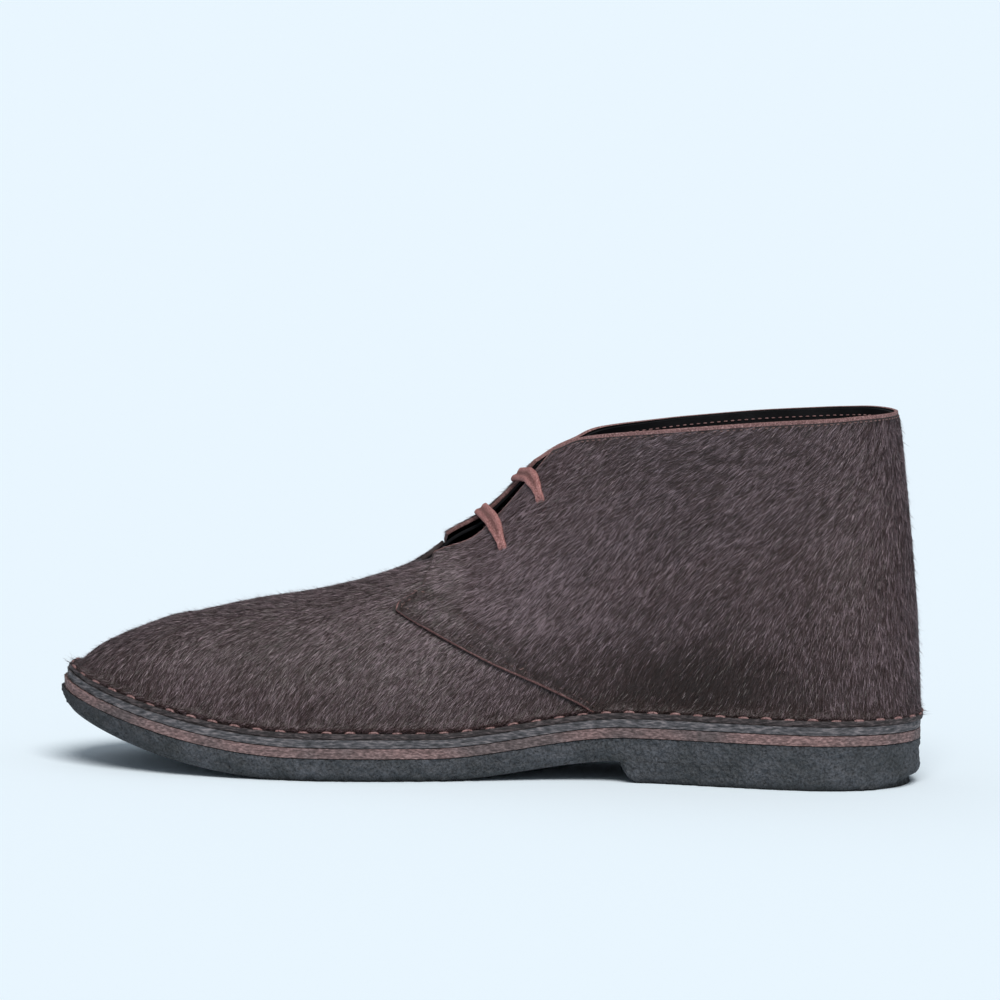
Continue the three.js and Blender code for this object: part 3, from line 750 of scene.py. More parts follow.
def punch(outer, inner, faces, holes, radius):
    """Opens round holes: triangles near an axis go, and the points left round it are
    moved out to the radius."""
    for centre, axis in holes:
        def flat(points):
            offset = points - centre
            height = offset @ axis
            return offset - height[:, None] * axis, height

        level, height = flat(outer)
        out = np.linalg.norm(level, axis=1)
        near = np.abs(height) < 5
        inside = near & (out < 0.75 * radius)
        faces = faces[~inside[faces].any(1)]
        ring = np.unique(border(faces))
        ring = ring[near[ring] & (out[ring] < 1.5 * radius)]
        ease = np.flatnonzero(near & (out > 0.5 * radius) & (out < 1.6 * radius))
        new = radius + (out[ease] - 0.75 * radius) * 0.6 / 0.85
        moved = dict(zip(ease, new))
        target = out.copy()
        target[list(moved)] = list(moved.values())
        target[ring] = radius
        picks = np.union1d(ease, ring)
        for points in (outer, inner):
            side, _ = flat(points)
            length = np.maximum(np.linalg.norm(side, axis=1), 1e-6)
            points[picks] += side[picks] * (target[picks] / length[picks] - 1)[:, None]
    return outer, inner, faces


def shell(outer, inner, faces, bulge=0.15, holes=(), radius=0.0, frayed=False):
    """A closed sheet from two grids that share their faces. Its rim has a middle line
    pushed out by bulge. Picks are 0 outside, 1 on the rim and 2 inside, and a frayed
    sheet's outer triangles at the rim are 1 too."""
    same = weld(outer)
    faces = same[faces]
    real = (faces[:, 0] != faces[:, 1]) & (faces[:, 1] != faces[:, 2]) & (faces[:, 2] != faces[:, 0])
    outer, inner, faces = punch(outer.copy(), inner[same], faces[real], holes, radius)
    edges = border(faces)
    count = len(outer)
    normal = outward(outer, faces)
    a, b = edges.T
    side = np.cross(outer[b] - outer[a], normal[a])
    push = np.zeros_like(outer)
    np.add.at(push, a, side)
    np.add.at(push, b, side)
    push /= np.maximum(np.linalg.norm(push, axis=1, keepdims=True), 1e-9)
    middle = (outer + inner) / 2 + bulge * push
    rim = []
    for shift in (0, 1):
        first, second = (0, 2 * count) if shift == 0 else (2 * count, count)
        rim.append(np.stack([b + first, a + first, a + second], 1))
        rim.append(np.stack([b + first, a + second, b + second], 1))
    rim = np.concatenate(rim)
    points = np.concatenate([outer, inner, middle])
    everything = np.concatenate([faces, rim, faces[:, ::-1] + count])
    picks = np.repeat([0, 1, 2], [len(faces), len(rim), len(faces)])
    if frayed:
        picks[: len(faces)] = np.isin(faces, edges).any(1)
    return points, everything, picks


# %% [markdown]
# The quarters run in one piece from the inner side round the heel to the outer side, and
# lie on the vamp. Each panel is a sheet with its own outer and inner face, so that the
# pale cut edge shows its real thickness, and the eyelets are punched through it.

# %% Where the eyelets are
def on_upper(x, y, grow):
    """Points of the upper over plan places, and the directions away from it there: each
    column of the grid is searched from the ridge down for the place where it passes y."""
    x, y = np.atleast_1d(x).astype(float), np.atleast_1d(y).astype(float)
    inner_side = y > last_line["lean"](x) * BALL_WIDTH
    stations = ray_stations()
    first = HEEL_RAYS
    last = HEEL_RAYS + 2 * len(stations) + 2 * TOE_RAYS - 2
    index = np.interp(x, stations, np.arange(len(stations)))
    u = np.where(inner_side, first + index, last - index)
    v = np.linspace(LEVELS - 1, 0.25 * LEVELS, 500)
    many_u, many_v = np.meshgrid(u, v, indexing="ij")
    column_points = sample(skin, many_u, many_v) + grow * sample(away, many_u, many_v)
    top_y = column_points[:, :1, 1]
    past = np.abs(column_points[..., 1] - top_y) >= np.abs(y[:, None] - top_y)
    pick = v[past.argmax(1)]
    return sample(skin, u, pick) + grow * sample(away, u, pick), sample(away, u, pick)


def on_side(line, side, grow):
    """A line in side view laid on the upper's inner (1) or outer (-1) side: each point's
    ray is known from X, and its level is searched for the height."""
    stations = ray_stations()
    index = np.interp(line[:, 0], stations, np.arange(len(stations)))
    last = HEEL_RAYS + 2 * len(stations) + 2 * TOE_RAYS - 2
    u = HEEL_RAYS + index if side > 0 else last - index
    v = np.linspace(0, LEVELS - 1, 900)
    many_u, many_v = np.meshgrid(u, v, indexing="ij")
    height = (sample(skin, many_u, many_v) + grow * sample(away, many_u, many_v))[..., 2]
    pick = v[(height >= line[:, 1:]).argmax(1)]
    return sample(skin, u, pick) + grow * sample(away, u, pick), sample(away, u, pick)


def eyelet_places():
    """Plan places of the eyelets, inner and outer one of each pair."""
    places = []
    for at, inset in zip(EYELETS["at"], EYELETS["inset"]):
        x = float(along(at))
        out = float(throat_half(x)) + inset * BALL_WIDTH
        places.append(((x, out), (x + LACE_SKEW, -out)))
    return places


eyelet_pairs = eyelet_places()
eyelet_axes = []
for place in [place for pair in eyelet_pairs for place in pair]:
    point, axis = on_upper(place[0], place[1], QUARTER_STEP)
    eyelet_axes.append((point[0], axis[0]))
print("eyelets at", [tuple(np.round(centre, 1)) for centre, _ in eyelet_axes])

# %% The quarters
def panel(low, high, order, rows, outer_grow, inner_grow):
    """Outer and inner grid of a panel: each ray of the order divided from its low level to
    its high one, with the lowest row a third as tall as the others, and moved away from
    the last by the two growths."""
    share = np.append(0, np.linspace(0.35 / rows, 1, rows - 1))
    v = low[order][:, None] + (high - low)[order][:, None] * share
    u = np.repeat(order[:, None].astype(float), rows, axis=1)
    points, directions = sample(skin, u, v), sample(away, u, v)
    outer = points + outer_grow * directions
    inner = points + inner_grow * directions
    return outer.reshape(-1, 3), inner.reshape(-1, 3), grid_faces(len(order), rows)


def run_of(rays, start):
    """The rays that are wanted, in one run that begins at start and passes the heel."""
    order = (np.arange(RAYS) + start) % RAYS
    return order[rays[order]]


quarter_low, quarter_high, quarter_rays = cut_levels(quarter_field)
outer_side_start = HEEL_RAYS + len(ray_stations()) + TOE_RAYS
order = run_of(quarter_rays, outer_side_start)
outer, inner, faces = panel(quarter_low, quarter_high, order, 72, QUARTER_STEP, 0.1)
points, faces, picks = shell(outer, inner, faces, 0.25, eyelet_axes, EYELET_RADIUS, frayed=True)
add_piece(
    "quarters", points, faces, [HIDE, RAW_EDGE, LINING], "hair_leather", picks, ["upper"]
)

# %% The vamp
vamp_low, vamp_high, vamp_rays = cut_levels(vamp_field)
order = np.flatnonzero(vamp_rays)
outer, inner, faces = panel(vamp_low, vamp_high, order, 34, 0.0, -1.25)
points, faces, picks = shell(outer, inner, faces)
add_piece("vamp", points, faces, [HIDE, HIDE, LINING], "hair_leather", picks, ["upper"])

# %% [markdown]
# The lining is one black sheet inside both panels. It steps inwards where the vamp lies
# under the quarter, and stops a little short of the collar so that the pale cut edge
# stays in sight.

# %% The lining
LINING_THICK = 0.9
under_vamp = np.clip(0.5 - quarter_margin(skin, QUARTER_LAP + 2) / 4, 0, 1)
lining_outer = (0.05 - 1.35 * under_vamp)[..., None] * away + skin
lining_inner = lining_outer - LINING_THICK * away - 0.15 * under_vamp[..., None] * away
lining_field = np.minimum(
    np.minimum(collar_margin(outer_skin), throat_margin(skin)) - 0.6, level_height - 0.2
)
lining_low, lining_high, _ = cut_levels(lining_field)
order = np.arange(RAYS)
share = np.linspace(0, 1, 20)
level = lining_low[:, None] + (lining_high - lining_low)[:, None] * share
u = np.repeat(order[:, None].astype(float), len(share), axis=1)
outer, inner = (sample(grid, u, level).reshape(-1, 3) for grid in (lining_outer, lining_inner))
points, faces, picks = shell(outer, inner, grid_faces(RAYS, len(share), closed=True), 0.1)
add_piece("lining", points, faces, [LINING], "lining", None, ["upper"])

# %% [markdown]
# At the foot the leather turns outwards and lies on the runner, where a row of long
# stitches holds it. Its outline is cut by hand, so its edge wanders a little.

# %% Noise in space
def grain(points, size, seed):
    """Smooth noise from -1 to 1: random values on a cubic lattice with cells of this
    size, blended between the eight corners."""
    table = np.random.default_rng(seed).uniform(-1, 1, 4096)
    place = points / size
    cell = np.floor(place).astype(np.int64)
    part = place - cell
    part = part * part * (3 - 2 * part)
    total = 0
    for corner in np.ndindex(2, 2, 2):
        x, y, z = np.moveaxis(cell + corner, -1, 0)
        value = table[(x * 73856093 ^ y * 19349663 ^ z * 83492791) & 4095]
        weight = np.where(corner, part, 1 - part).prod(-1)
        total = total + value * weight
    return total


# %% The turned-out edge
def turned_edge(rows_out=7):
    """A closed strip round the boot: down the wall, out over the runner, down its rim and
    back underneath. The wall part grows by the quarter's step behind the quarter's edge."""
    side_margin = quarter_margin(skin[:, :1, :], 0)[:, 0]
    grow = QUARTER_STEP * np.clip(0.5 + side_margin / 3, 0, 1) - 0.15
    x, y, dx, dy = (ray[name][:, None] for name in ("x", "y", "dx", "dy"))
    level = np.array([(level_height > h).argmax(1) for h in (5.0, 3.6)]).T
    wall = skin[np.arange(RAYS)[:, None], level] + grow[:, None, None] * away[np.arange(RAYS)[:, None], level]
    wall_out = (wall[:, -1, 0] - x[:, 0]) * dx[:, 0] + (wall[:, -1, 1] - y[:, 0]) * dy[:, 0]
    rim_place = np.stack([x + dx * ray["edge"][:, None], y + dy * ray["edge"][:, None], 0 * x], axis=2)
    rim_out = ray["rim"] + 0.5 * grain(rim_place[:, 0], 4, 11) - 0.1
    rim_out = np.maximum(rim_out, wall_out + 1.4)
    share = np.linspace(0, 1, rows_out)[1:]
    out = wall_out[:, None] + (rim_out - wall_out)[:, None] * share
    fillet = 1.6 * (1 - share) ** 3
    sides = [(out, FLANGE + fillet), (out[:, -1:] + 0.15, np.array([FLANGE * 0.5]))]
    sides += [(out[:, ::-1] - 0.1, 0 * share + 0.05)]
    rings = [wall]
    for distance_out, height in sides:
        px, py = x + dx * distance_out, y + dy * distance_out
        rings.append(np.stack([px, py, upper_base(px) + height], axis=2))
    under = wall - 1.2 * away[np.arange(RAYS)[:, None], level]
    rings.append(under[:, ::-1])
    return np.concatenate(rings, axis=1)


edge_grid = turned_edge()
EDGE_ROWS = edge_grid.shape[1]
closed_columns = np.concatenate([edge_grid, edge_grid[:, :1]], axis=1)
edge_faces = grid_faces(RAYS, EDGE_ROWS + 1, closed=True)[:, ::-1]
edge_points = closed_columns.reshape(-1, 3)
edge_same = weld(edge_points)
edge_column = np.repeat(np.tile(np.arange(EDGE_ROWS), RAYS), 2)
edge_picks = np.where((edge_column >= 7) & (edge_column <= 8), 1, 0)
add_piece(
    "turned_out_edge", edge_points, edge_same[edge_faces], [HIDE, RUBBED_EDGE],
    "hair_leather", edge_picks, ["upper"]
)
print("turned-out edge reaches", np.round(edge_points[:, 0].max(), 1), "mm forward")

# %% [markdown]
# The sole is three sheets and a heel block. Crepe is raw rubber rolled into sheets: its
# cut side is granular and its lower edge is ragged. The midsole is natural leather cut
# through, so its edge shows fibres, and the runner over it is thin dark leather.

# %% Finishes of the sole
def crepe_finish():
    """Slate grey rubber with fine crumbs and darker pits, darker towards the floor by
    soiling and painted contact shadow, and darker at the toe by painted shade."""
    material, nodes, links, shader, place = new_finish("crepe", 0.78)
    broad = add_noise(nodes, links, place, 14)
    colour = add_ramp(nodes, links, broad, [(0.3, srgb(56, 59, 62)), (0.7, srgb(82, 84, 90))])
    crumbs = add_noise(nodes, links, place, 0.9, 6)
    shade = add_ramp(nodes, links, crumbs, [(0.3, (0.35,) * 3), (0.52, (0.95,) * 3), (0.75, (1.5,) * 3)])
    colour = add_mix(nodes, links, "MULTIPLY", colour, shade)
    # Painted shade: darker towards the floor (painted contact shadow with some soiling) and at the toe.
    for axis, start, end, darkest in (("Z", 2.6, 0.2, 0.3), ("X", 215, 262, 0.42)):
        shadow_and_soil = add_rise(nodes, links, place, axis, start, end)
        shadow_and_soil = add_ramp(nodes, links, shadow_and_soil, [(0.0, (1.0,) * 3), (1.0, (darkest,) * 3)])
        colour = add_mix(nodes, links, "MULTIPLY", colour, shadow_and_soil)
    links.new(colour, shader.inputs["Base Color"])
    lumps = add_bump(nodes, links, shader, add_noise(nodes, links, place, 2.6, 2), 1.5)
    add_bump(nodes, links, shader, crumbs, 1.0, lumps)
    return material


def midsole_finish():
    """Cut natural leather: pinkish brown fibres that run along the edge."""
    material, nodes, links, shader, place = new_finish("midsole_leather", 0.8)
    fibre = add_noise(nodes, links, place, 0.7, 6, (2.2, 2.2, 0.8))
    colour = add_ramp(nodes, links, fibre, [
        (0.3, srgb(80, 66, 66)), (0.5, srgb(124, 104, 104)), (0.72, srgb(176, 152, 152)),
    ])
    broad = add_noise(nodes, links, place, 22)
    stain = add_ramp(nodes, links, broad, [(0.35, srgb(190, 196, 196)), (0.65, srgb(255, 240, 236))])
    links.new(add_mix(nodes, links, "MULTIPLY", colour, stain), shader.inputs["Base Color"])
    add_bump(nodes, links, shader, fibre, 0.3)
    return material


def runner_finish():
    """Dark leather rubbed grey in streaks along its edge."""
    material, nodes, links, shader, place = new_finish("runner", 0.72)
    streak = add_noise(nodes, links, place, 0.7, 6, (4, 4, 0.9))
    colour = add_ramp(nodes, links, streak, [
        (0.3, srgb(38, 37, 39)), (0.5, srgb(78, 76, 80)), (0.72, srgb(136, 128, 130)),
    ])
    links.new(colour, shader.inputs["Base Color"])
    add_bump(nodes, links, shader, streak, 0.3)
    return material


CREPE, MIDSOLE_EDGE, RUNNER_EDGE = crepe_finish(), midsole_finish(), runner_finish()

# %% Sheets with a rough side
def even_outline(edge, axis, count):
    """A closed outline and the axis points under it, at even steps along the outline."""
    steps = np.linalg.norm(np.diff(edge, axis=0, append=edge[:1]), axis=1)
    length = np.concatenate([[0], np.cumsum(steps)])
    at = np.linspace(0, length[-1], count, endpoint=False)
    both = np.concatenate([edge, axis], axis=1)
    both = np.concatenate([both, both[:1]])
    columns = [np.interp(at, length, values) for values in both.T]
    return np.stack(columns[:2], axis=1), np.stack(columns[2:], axis=1)


def slab(edge, axis, low, high, rough, size, seed, rows=9, ragged=None, forward=None):
    """A closed sheet between two heights over an outline. Its side moves in and out by
    noise of two sizes. Ragged is a function of X: how far the lower rim is worn away."""
    run = edge - axis
    direction = run / np.linalg.norm(run, axis=1, keepdims=True)
    rings = []
    levels = [(0, 0), (0.6, 0), (0.93, 0)] + [(1, share) for share in np.linspace(0, 1, rows)]
    levels += [(0.93, 1), (0.6, 1), (0, 1)]
    for out, share in levels:
        plan = axis + run * out
        if forward is not None:
            plan = plan + np.stack([forward(plan[:, 0], share), 0 * plan[:, 0]], axis=1)
        x = plan[:, 0]
        z = low(x) + (high(x) - low(x)) * share
        points = np.stack([x, plan[:, 1], z], axis=1)
        if out == 1:
            worn = 0 * x if ragged is None else ragged(x) * (1 - share) ** 3
            push = rough * (grain(points, size, seed) + 0.6 * grain(points, size * 0.45, seed + 1))
            points[:, :2] += direction * (push - 0.7 * rough - worn)[:, None]
            shift = worn * (0.4 + 1.2 * np.abs(grain(points * (1, 1, 0), size * 1.4, seed + 2)))
            points[:, 2] = points[:, 2] + shift
        rings.append(points)
    grid = np.stack(rings, axis=1)
    points = grid.reshape(-1, 3)
    faces = weld(points)[grid_faces(len(edge), len(rings), closed=True)]
    real = (faces[:, 0] != faces[:, 1]) & (faces[:, 1] != faces[:, 2]) & (faces[:, 2] != faces[:, 0])
    return points, faces[real]


ray_axis = np.stack([ray["x"], ray["y"]], axis=1)
ray_edge = ray_axis + np.stack([ray["dx"], ray["dy"]], axis=1) * ray["edge"][:, None]
sole_edge, sole_axis = even_outline(ray_edge, ray_axis, 1000)


def set_back(toe):
    """The sole's outline with its front end moved back by toe."""
    out = reach(ray["x"], ray["y"], ray["dx"], ray["dy"], toe=toe)
    edge = ray_axis + np.stack([ray["dx"], ray["dy"]], axis=1) * out[:, None]
    return even_outline(edge, ray_axis, 1000)


def free_rim(x):
    """How far the crepe's lower rim is worn: not at all where the heel block covers it."""
    return 1.4 * np.clip((x - BREAST_FOOT - 3) / 3, 0, 1)


crepe_points, crepe_faces = slab(
    sole_edge, sole_axis, lift, lambda x: foot_line(x, CREPE_SHEET), 0.55, 1.9, 21, 11, free_rim
)
add_piece(
    "crepe_sheet", crepe_points, crepe_faces, [CREPE], "crepe", stands_for=["outsole"]
)
midsole_points, midsole_faces = slab(
    *set_back(TOE_SETBACK["midsole"]), lambda x: foot_line(x, MIDSOLE_FOOT),
    lambda x: foot_line(x, MIDSOLE_FOOT + MIDSOLE), 0.14, 1.6, 31, 6
)
add_piece(
    "midsole_edge", midsole_points, midsole_faces, [MIDSOLE_EDGE], "midsole_leather",
    stands_for=["midsole"]
)
runner_points, runner_faces = slab(
    *set_back(TOE_SETBACK["runner"]), lambda x: foot_line(x, RUNNER_FOOT),
    lambda x: foot_line(x, RUNNER_FOOT + RUNNER) + 0.2, 0.22, 2.5, 41, 6
)
add_piece(
    "runner_edge", runner_points, runner_faces, [RUNNER_EDGE], "runner", stands_for=["runner"]
)

# %% The heel block
def heel_outline():
    """The sole's plan behind the breast, closed by a straight line across."""
    behind = np.roll(np.arange(RAYS), RAYS // 2)
    behind = behind[ray_edge[behind, 0] < BREAST_FOOT]
    side = ray_edge[behind]
    y = np.linspace(side[-1, 1], side[0, 1], 40)[1:-1]
    front = np.stack([np.full_like(y, BREAST_FOOT), y], axis=1)
    outline = np.concatenate([side, front])
    return outline, np.repeat([[10.0, 0.0]], len(outline), axis=0)


def breast_forward(x, share):
    """The breast leans forward as it rises, and the side behind it stretches with it."""
    return BREAST_LEAN * share**1.4 * np.clip((x - 30) / (BREAST_FOOT - 30), 0, 1)


heel_edge, heel_axis = even_outline(*heel_outline(), 500)
heel_points, heel_faces = slab(
    heel_edge, heel_axis, lambda x: 0 * x, lambda x: lift(x) - 0.02, 0.55, 1.9, 21, 10,
    lambda x: 1.1 + 3.4 * np.clip((-x - 22) / 16, 0, 1) ** 2, breast_forward
)
add_piece(
    "crepe_heel", heel_points, heel_faces, [CREPE], "crepe", stands_for=["heel_lift"]
)

# %% [markdown]
# Inside lie the insole and the tongue. The tongue is an arched sheet of the same black
# leather as the lining, and it is pressed down wherever it would rise into the facings.

# %% Insole and tongue
sock_level = (level_height > INSOLE).argmax(1)
sock_ring = (skin - (WALL + GAP) * away)[np.arange(RAYS), sock_level, :2]
sock_points, sock_faces = slab(
    *even_outline(sock_ring, ray_axis, 400), upper_base,
    lambda x: foot_line(x, UPPER_FOOT + INSOLE), 0.0, 3.0, 61, 4
)
add_piece("sock_lining", sock_points, sock_faces, [LINING], "lining", stands_for=["insole"])


def tongue_grids(rows=60, columns=31):
    """Top and underside of the tongue: its crown curve swept across by an arch,
    -arch * over^2, and held under the inside of the upper."""
    crown = through(side_points(TONGUE_CROWN, INSTEP_RISE), rows)
    run = np.gradient(crown, axis=0)
    run /= np.linalg.norm(run, axis=1, keepdims=True)
    up = np.stack([run[:, 1], 0 * run[:, 0], -run[:, 0]], axis=1)
    share = np.linspace(0, 1, rows)
    narrowed = np.minimum(1, TONGUE_END + TONGUE_END_SLOPE * (1 - share))
    corner = np.minimum(1, 0.5 + 3 * np.sqrt(1 - share))
    half = (TONGUE_HALF + (TONGUE_TOP_HALF - TONGUE_HALF) * share) * narrowed * corner
    over = np.linspace(-1, 1, columns)
    points = np.zeros((rows, columns, 3))
    points[..., 0], points[..., 2] = crown[:, :1], crown[:, 1:]
    points[..., 1] = half[:, None] * over
    points -= (TONGUE_ARCH * over**2)[None, :, None] * up[:, None, :]
    flat = points.reshape(-1, 3)
    for side in (1, -1):
        here = side * flat[:, 1] > 0
        wall, _ = on_side(flat[here][:, [0, 2]], side, -WALL - GAP)
        flat[here, 1] = side * np.minimum(side * flat[here, 1], np.maximum(side * wall[:, 1], 1))
    roof, _ = on_upper(flat[:, 0], flat[:, 1], -WALL - GAP)
    flat[:, 2] = np.minimum(flat[:, 2], roof[:, 2])
    return flat, rows, columns


top, tongue_rows, tongue_columns = tongue_grids()
tongue_faces = grid_faces(tongue_rows, tongue_columns)
tongue_up = outward(top, tongue_faces)
if tongue_up[:, 2].mean() < 0:
    tongue_faces, tongue_up = tongue_faces[:, ::-1], -tongue_up
points, faces, picks = shell(top, top - TONGUE_THICK * tongue_up, tongue_faces, 0.2)
add_piece("tongue_sheet", points, faces, [TONGUE], "lining", stands_for=["tongue"])

# %% [markdown]
# One suede lace runs through all four eyelets: it starts inside at the upper inner
# eyelet, comes out of the lower inner one, crosses the throat, goes in and comes out
# again above, crosses back and ends inside. It is a flat strip with a crease along it.

# %% The lace
def lace_finish():
    """Dusty pink-brown suede: soft mottling, a fine nap and painted shade along the crease."""
    material, nodes, links, shader, place = new_finish("lace_suede", 0.95, Specular_IOR_Level=0.2)
    nap = add_noise(nodes, links, place, 0.45, 6)
    colour = add_ramp(nodes, links, nap, [
        (0.3, srgb(110, 68, 66)), (0.5, srgb(162, 112, 108)), (0.72, srgb(214, 164, 160)),
    ])
    crease_shade_mask = nodes.new("ShaderNodeAttribute")
    crease_shade_mask.attribute_name = "crease"
    # Painted shade: the lace is darkened where its crease lies.
    shade = add_ramp(nodes, links, crease_shade_mask.outputs["Fac"], [(0.0, (1.0,) * 3), (0.8, (0.5,) * 3)])
    links.new(add_mix(nodes, links, "MULTIPLY", colour, shade), shader.inputs["Base Color"])
    add_bump(nodes, links, shader, nap, 0.4)
    return material


def bar_points(pair, count=15):
    """Points of one bar, from the inner eyelet to the outer one: on the facings at its
    lie, straight over the throat between them. Also the upward directions there."""
    (x, out), _ = pair
    edge = float(throat_half(x))
    lie = QUARTER_STEP + GAP + 0.35 * LACE_THICK
    y = np.linspace(out - EYELET_RADIUS * 0.4, EYELET_RADIUS * 0.4 - out, count)
    share = (out - y) / (2 * out)
    along_x = x + LACE_SKEW * np.sin(share * np.pi / 2)
    points, up = on_upper(along_x, y, lie)
    ends, end_up = on_upper(np.interp([edge, -edge], y[::-1], along_x[::-1]), np.array([edge, -edge]), lie)
    over = np.clip((edge - y) / (2 * edge), 0, 1)[:, None]
    flat = np.abs(y) < edge
    points[flat] = (ends[0] + (ends[1] - ends[0]) * over)[flat]
    up[flat] = (end_up[0] + (end_up[1] - end_up[0]) * over)[flat]
    return points, up


def lace_route():
    """All points of the lace, its upward directions and its share of full thickness."""
    points, ups, thick = [], [], []

    def add(place, up, share):
        points.append(place)
        ups.append(up)
        thick.append(share)

    def dive(axis_pair, depths, share):
        centre, axis = axis_pair
        for depth in depths:
            add(centre - axis * depth, axis, share)

    (lower_in, lower_out), (upper_in, upper_out) = eyelet_axes[:2], eyelet_axes[2:]
    add(upper_in[0] - upper_in[1] * 3.2 + np.array([3.0, 0, 0]), upper_in[1], 0.6)
    middle = (upper_in[0] + lower_in[0]) / 2 - lower_in[1] * 3.3
    add(middle, lower_in[1], 0.6)
    dive(lower_in, (3.2, 1.2), 0.7)
    for pair, end in ((0, lower_out), (1, upper_in)):
        bar, up = bar_points(eyelet_pairs[pair])
        if pair == 1:
            dive(upper_out, (3.2, 1.2), 0.7)
            bar, up = bar[::-1], up[::-1]
        for step, (place, direction) in enumerate(zip(bar, up)):
            add(place, direction, min(1.0, 0.45 + 0.3 * min(step, len(bar) - 1 - step)))
        dive(end, (1.2, 3.2), 0.7)
        if pair == 0:
            add((lower_out[0] + upper_out[0]) / 2 - upper_out[1] * 3.3, upper_out[1], 0.6)
    add(upper_in[0] - upper_in[1] * 3.4 + np.array([-4.0, 0, 0]), upper_in[1], 0.6)
    return np.array(points), np.array(ups), np.array(thick)


def lace_strip(around=20):
    """A rounded strip swept along the route: width over thickness as a rounded square,
    with its two faces pressed in along the middle."""
    points, ups, thick = lace_route()
    count = 6 * len(points)
    place, up = through(points, count), through(ups, count)
    share = np.interp(np.linspace(0, 1, count), np.linspace(0, 1, len(points)), thick)
    run = np.gradient(place, axis=0)
    run /= np.linalg.norm(run, axis=1, keepdims=True)
    aside = np.cross(run, up)
    aside /= np.linalg.norm(aside, axis=1, keepdims=True)
    up = np.cross(aside, run)
    turn = np.linspace(0, 2 * np.pi, around, endpoint=False)
    wide = np.sign(np.cos(turn)) * np.abs(np.cos(turn)) ** 0.6
    tall = np.sign(np.sin(turn)) * np.abs(np.sin(turn)) ** 0.6
    folded = np.exp(-((wide / 0.3) ** 2))
    open_fold = np.clip((share - 0.4) / 0.4, 0, 1)[:, None]
    half_wide = (LACE_WIDTH / 2 * (0.2 + 0.8 * share))[:, None] * wide
    half_tall = (LACE_THICK / 2 * (0.4 + 0.6 * share))[:, None] * tall * (1 - 0.6 * folded * open_fold)
    rings = place[:, None] + aside[:, None] * half_wide[..., None] + up[:, None] * half_tall[..., None]
    rings = rings + 0.2 * grain(rings, 0.9, 71)[..., None] * up[:, None]
    ends = [np.repeat(place[[k]][:, None], around, axis=1) for k in (0, -1)]
    rings = np.concatenate([ends[0], rings, ends[1]])
    closed = np.concatenate([rings, rings[:, :1]], axis=1)
    flat = closed.reshape(-1, 3)
    faces = weld(flat)[grid_faces(len(closed), around + 1)]
    real = (faces[:, 0] != faces[:, 1]) & (faces[:, 1] != faces[:, 2]) & (faces[:, 2] != faces[:, 0])
    open_fold = np.concatenate([open_fold[:1], open_fold, open_fold[-1:]])
    # Where the crease lies, for the painted shade of the lace finish.
    creases = (open_fold * np.append(folded, folded[0])).ravel()
    return flat, faces[real], creases, np.linalg.norm(np.diff(place, axis=0), axis=1).sum()


lace_points, lace_faces, lace_crease, lace_length = lace_strip()
LACE = lace_finish()
add_piece(
    "lace", lace_points, lace_faces, [LACE], "lace", stands_for=["lace_lower", "lace_upper"],
    crease=lace_crease,
)
print(f"the lace is {lace_length:.0f} mm long")

# %% [markdown]
# Stitches are many small copies of one shape: a short bent tube of thread whose ends dip
# into the leather. They are placed along a line by its length and joined into one mesh.

# %% Stitch rows
def thread_finish(name, dark, pale):
    """Waxed thread, twisted from dark and pale."""
    material, nodes, links, shader, place = new_finish(name, 0.6)
    twist = add_noise(nodes, links, place, 0.5, 3)
    colour = add_ramp(nodes, links, twist, [(0.3, srgb(*dark)), (0.7, srgb(*pale))])
    links.new(colour, shader.inputs["Base Color"])
    add_bump(nodes, links, shader, twist, 0.1)
    return material


def stitches(line, up, pitch, fill, radius, lift_by, wander=0.0, around=6, rings=7):
    """Tubes along a line of points: one for each pitch, over fill of it, arched by a sine
    so that both ends dip under the surface. Wander is the share by which some lie lower."""
    steps = np.linalg.norm(np.diff(line, axis=0), axis=1)
    length = np.concatenate([[0], np.cumsum(steps)])
    count = max(1, int(length[-1] / pitch))
    part = np.linspace(-0.5, 0.5, rings)
    at = ((np.arange(count) + 0.5) * length[-1] / count)[:, None] + part * pitch * fill
    centre = np.stack([np.interp(at, length, line[:, k]) for k in range(3)], axis=2)
    direction = np.stack([np.interp(at, length, up[:, k]) for k in range(3)], axis=2)
    direction /= np.linalg.norm(direction, axis=2, keepdims=True)
    arch = np.cos(part * np.pi) ** 0.6
    raised = lift_by * (1 - wander * np.random.default_rng(501).random(count))[:, None]
    centre = centre + direction * (raised * arch - 0.6 * radius)[..., None]
    run = np.gradient(centre, axis=1)
    run /= np.linalg.norm(run, axis=2, keepdims=True)
    aside = np.cross(run, direction)
    thin = radius * np.where(np.abs(part) > 0.49, 0.02, np.sqrt(1 - (1.6 * part) ** 4 * 0.5))
    turn = np.linspace(0, 2 * np.pi, around, endpoint=False)
    ring = aside[:, :, None] * np.cos(turn)[:, None] + direction[:, :, None] * np.sin(turn)[:, None]
    tubes = centre[:, :, None] + ring * thin[None, :, None, None]
    one = grid_faces(rings, around)
    wrap = np.stack([np.arange(rings - 1) * around + around - 1, np.arange(rings - 1) * around], 1)
    nxt = wrap + around
    extra = np.concatenate([
        np.stack([wrap[:, 0], wrap[:, 1], nxt[:, 1]], 1), np.stack([wrap[:, 0], nxt[:, 1], nxt[:, 0]], 1)
    ])
    one = np.concatenate([one, extra])
    faces = (np.arange(count)[:, None, None] * rings * around + one).reshape(-1, 3)
    return tubes.reshape(-1, 3), faces


def join(parts):
    """Several meshes of points and faces as one."""
    points, faces, count = [], [], 0
    for these, those in parts:
        points.append(these)
        faces.append(those + count)
        count += len(these)
    return np.concatenate(points), np.concatenate(faces)


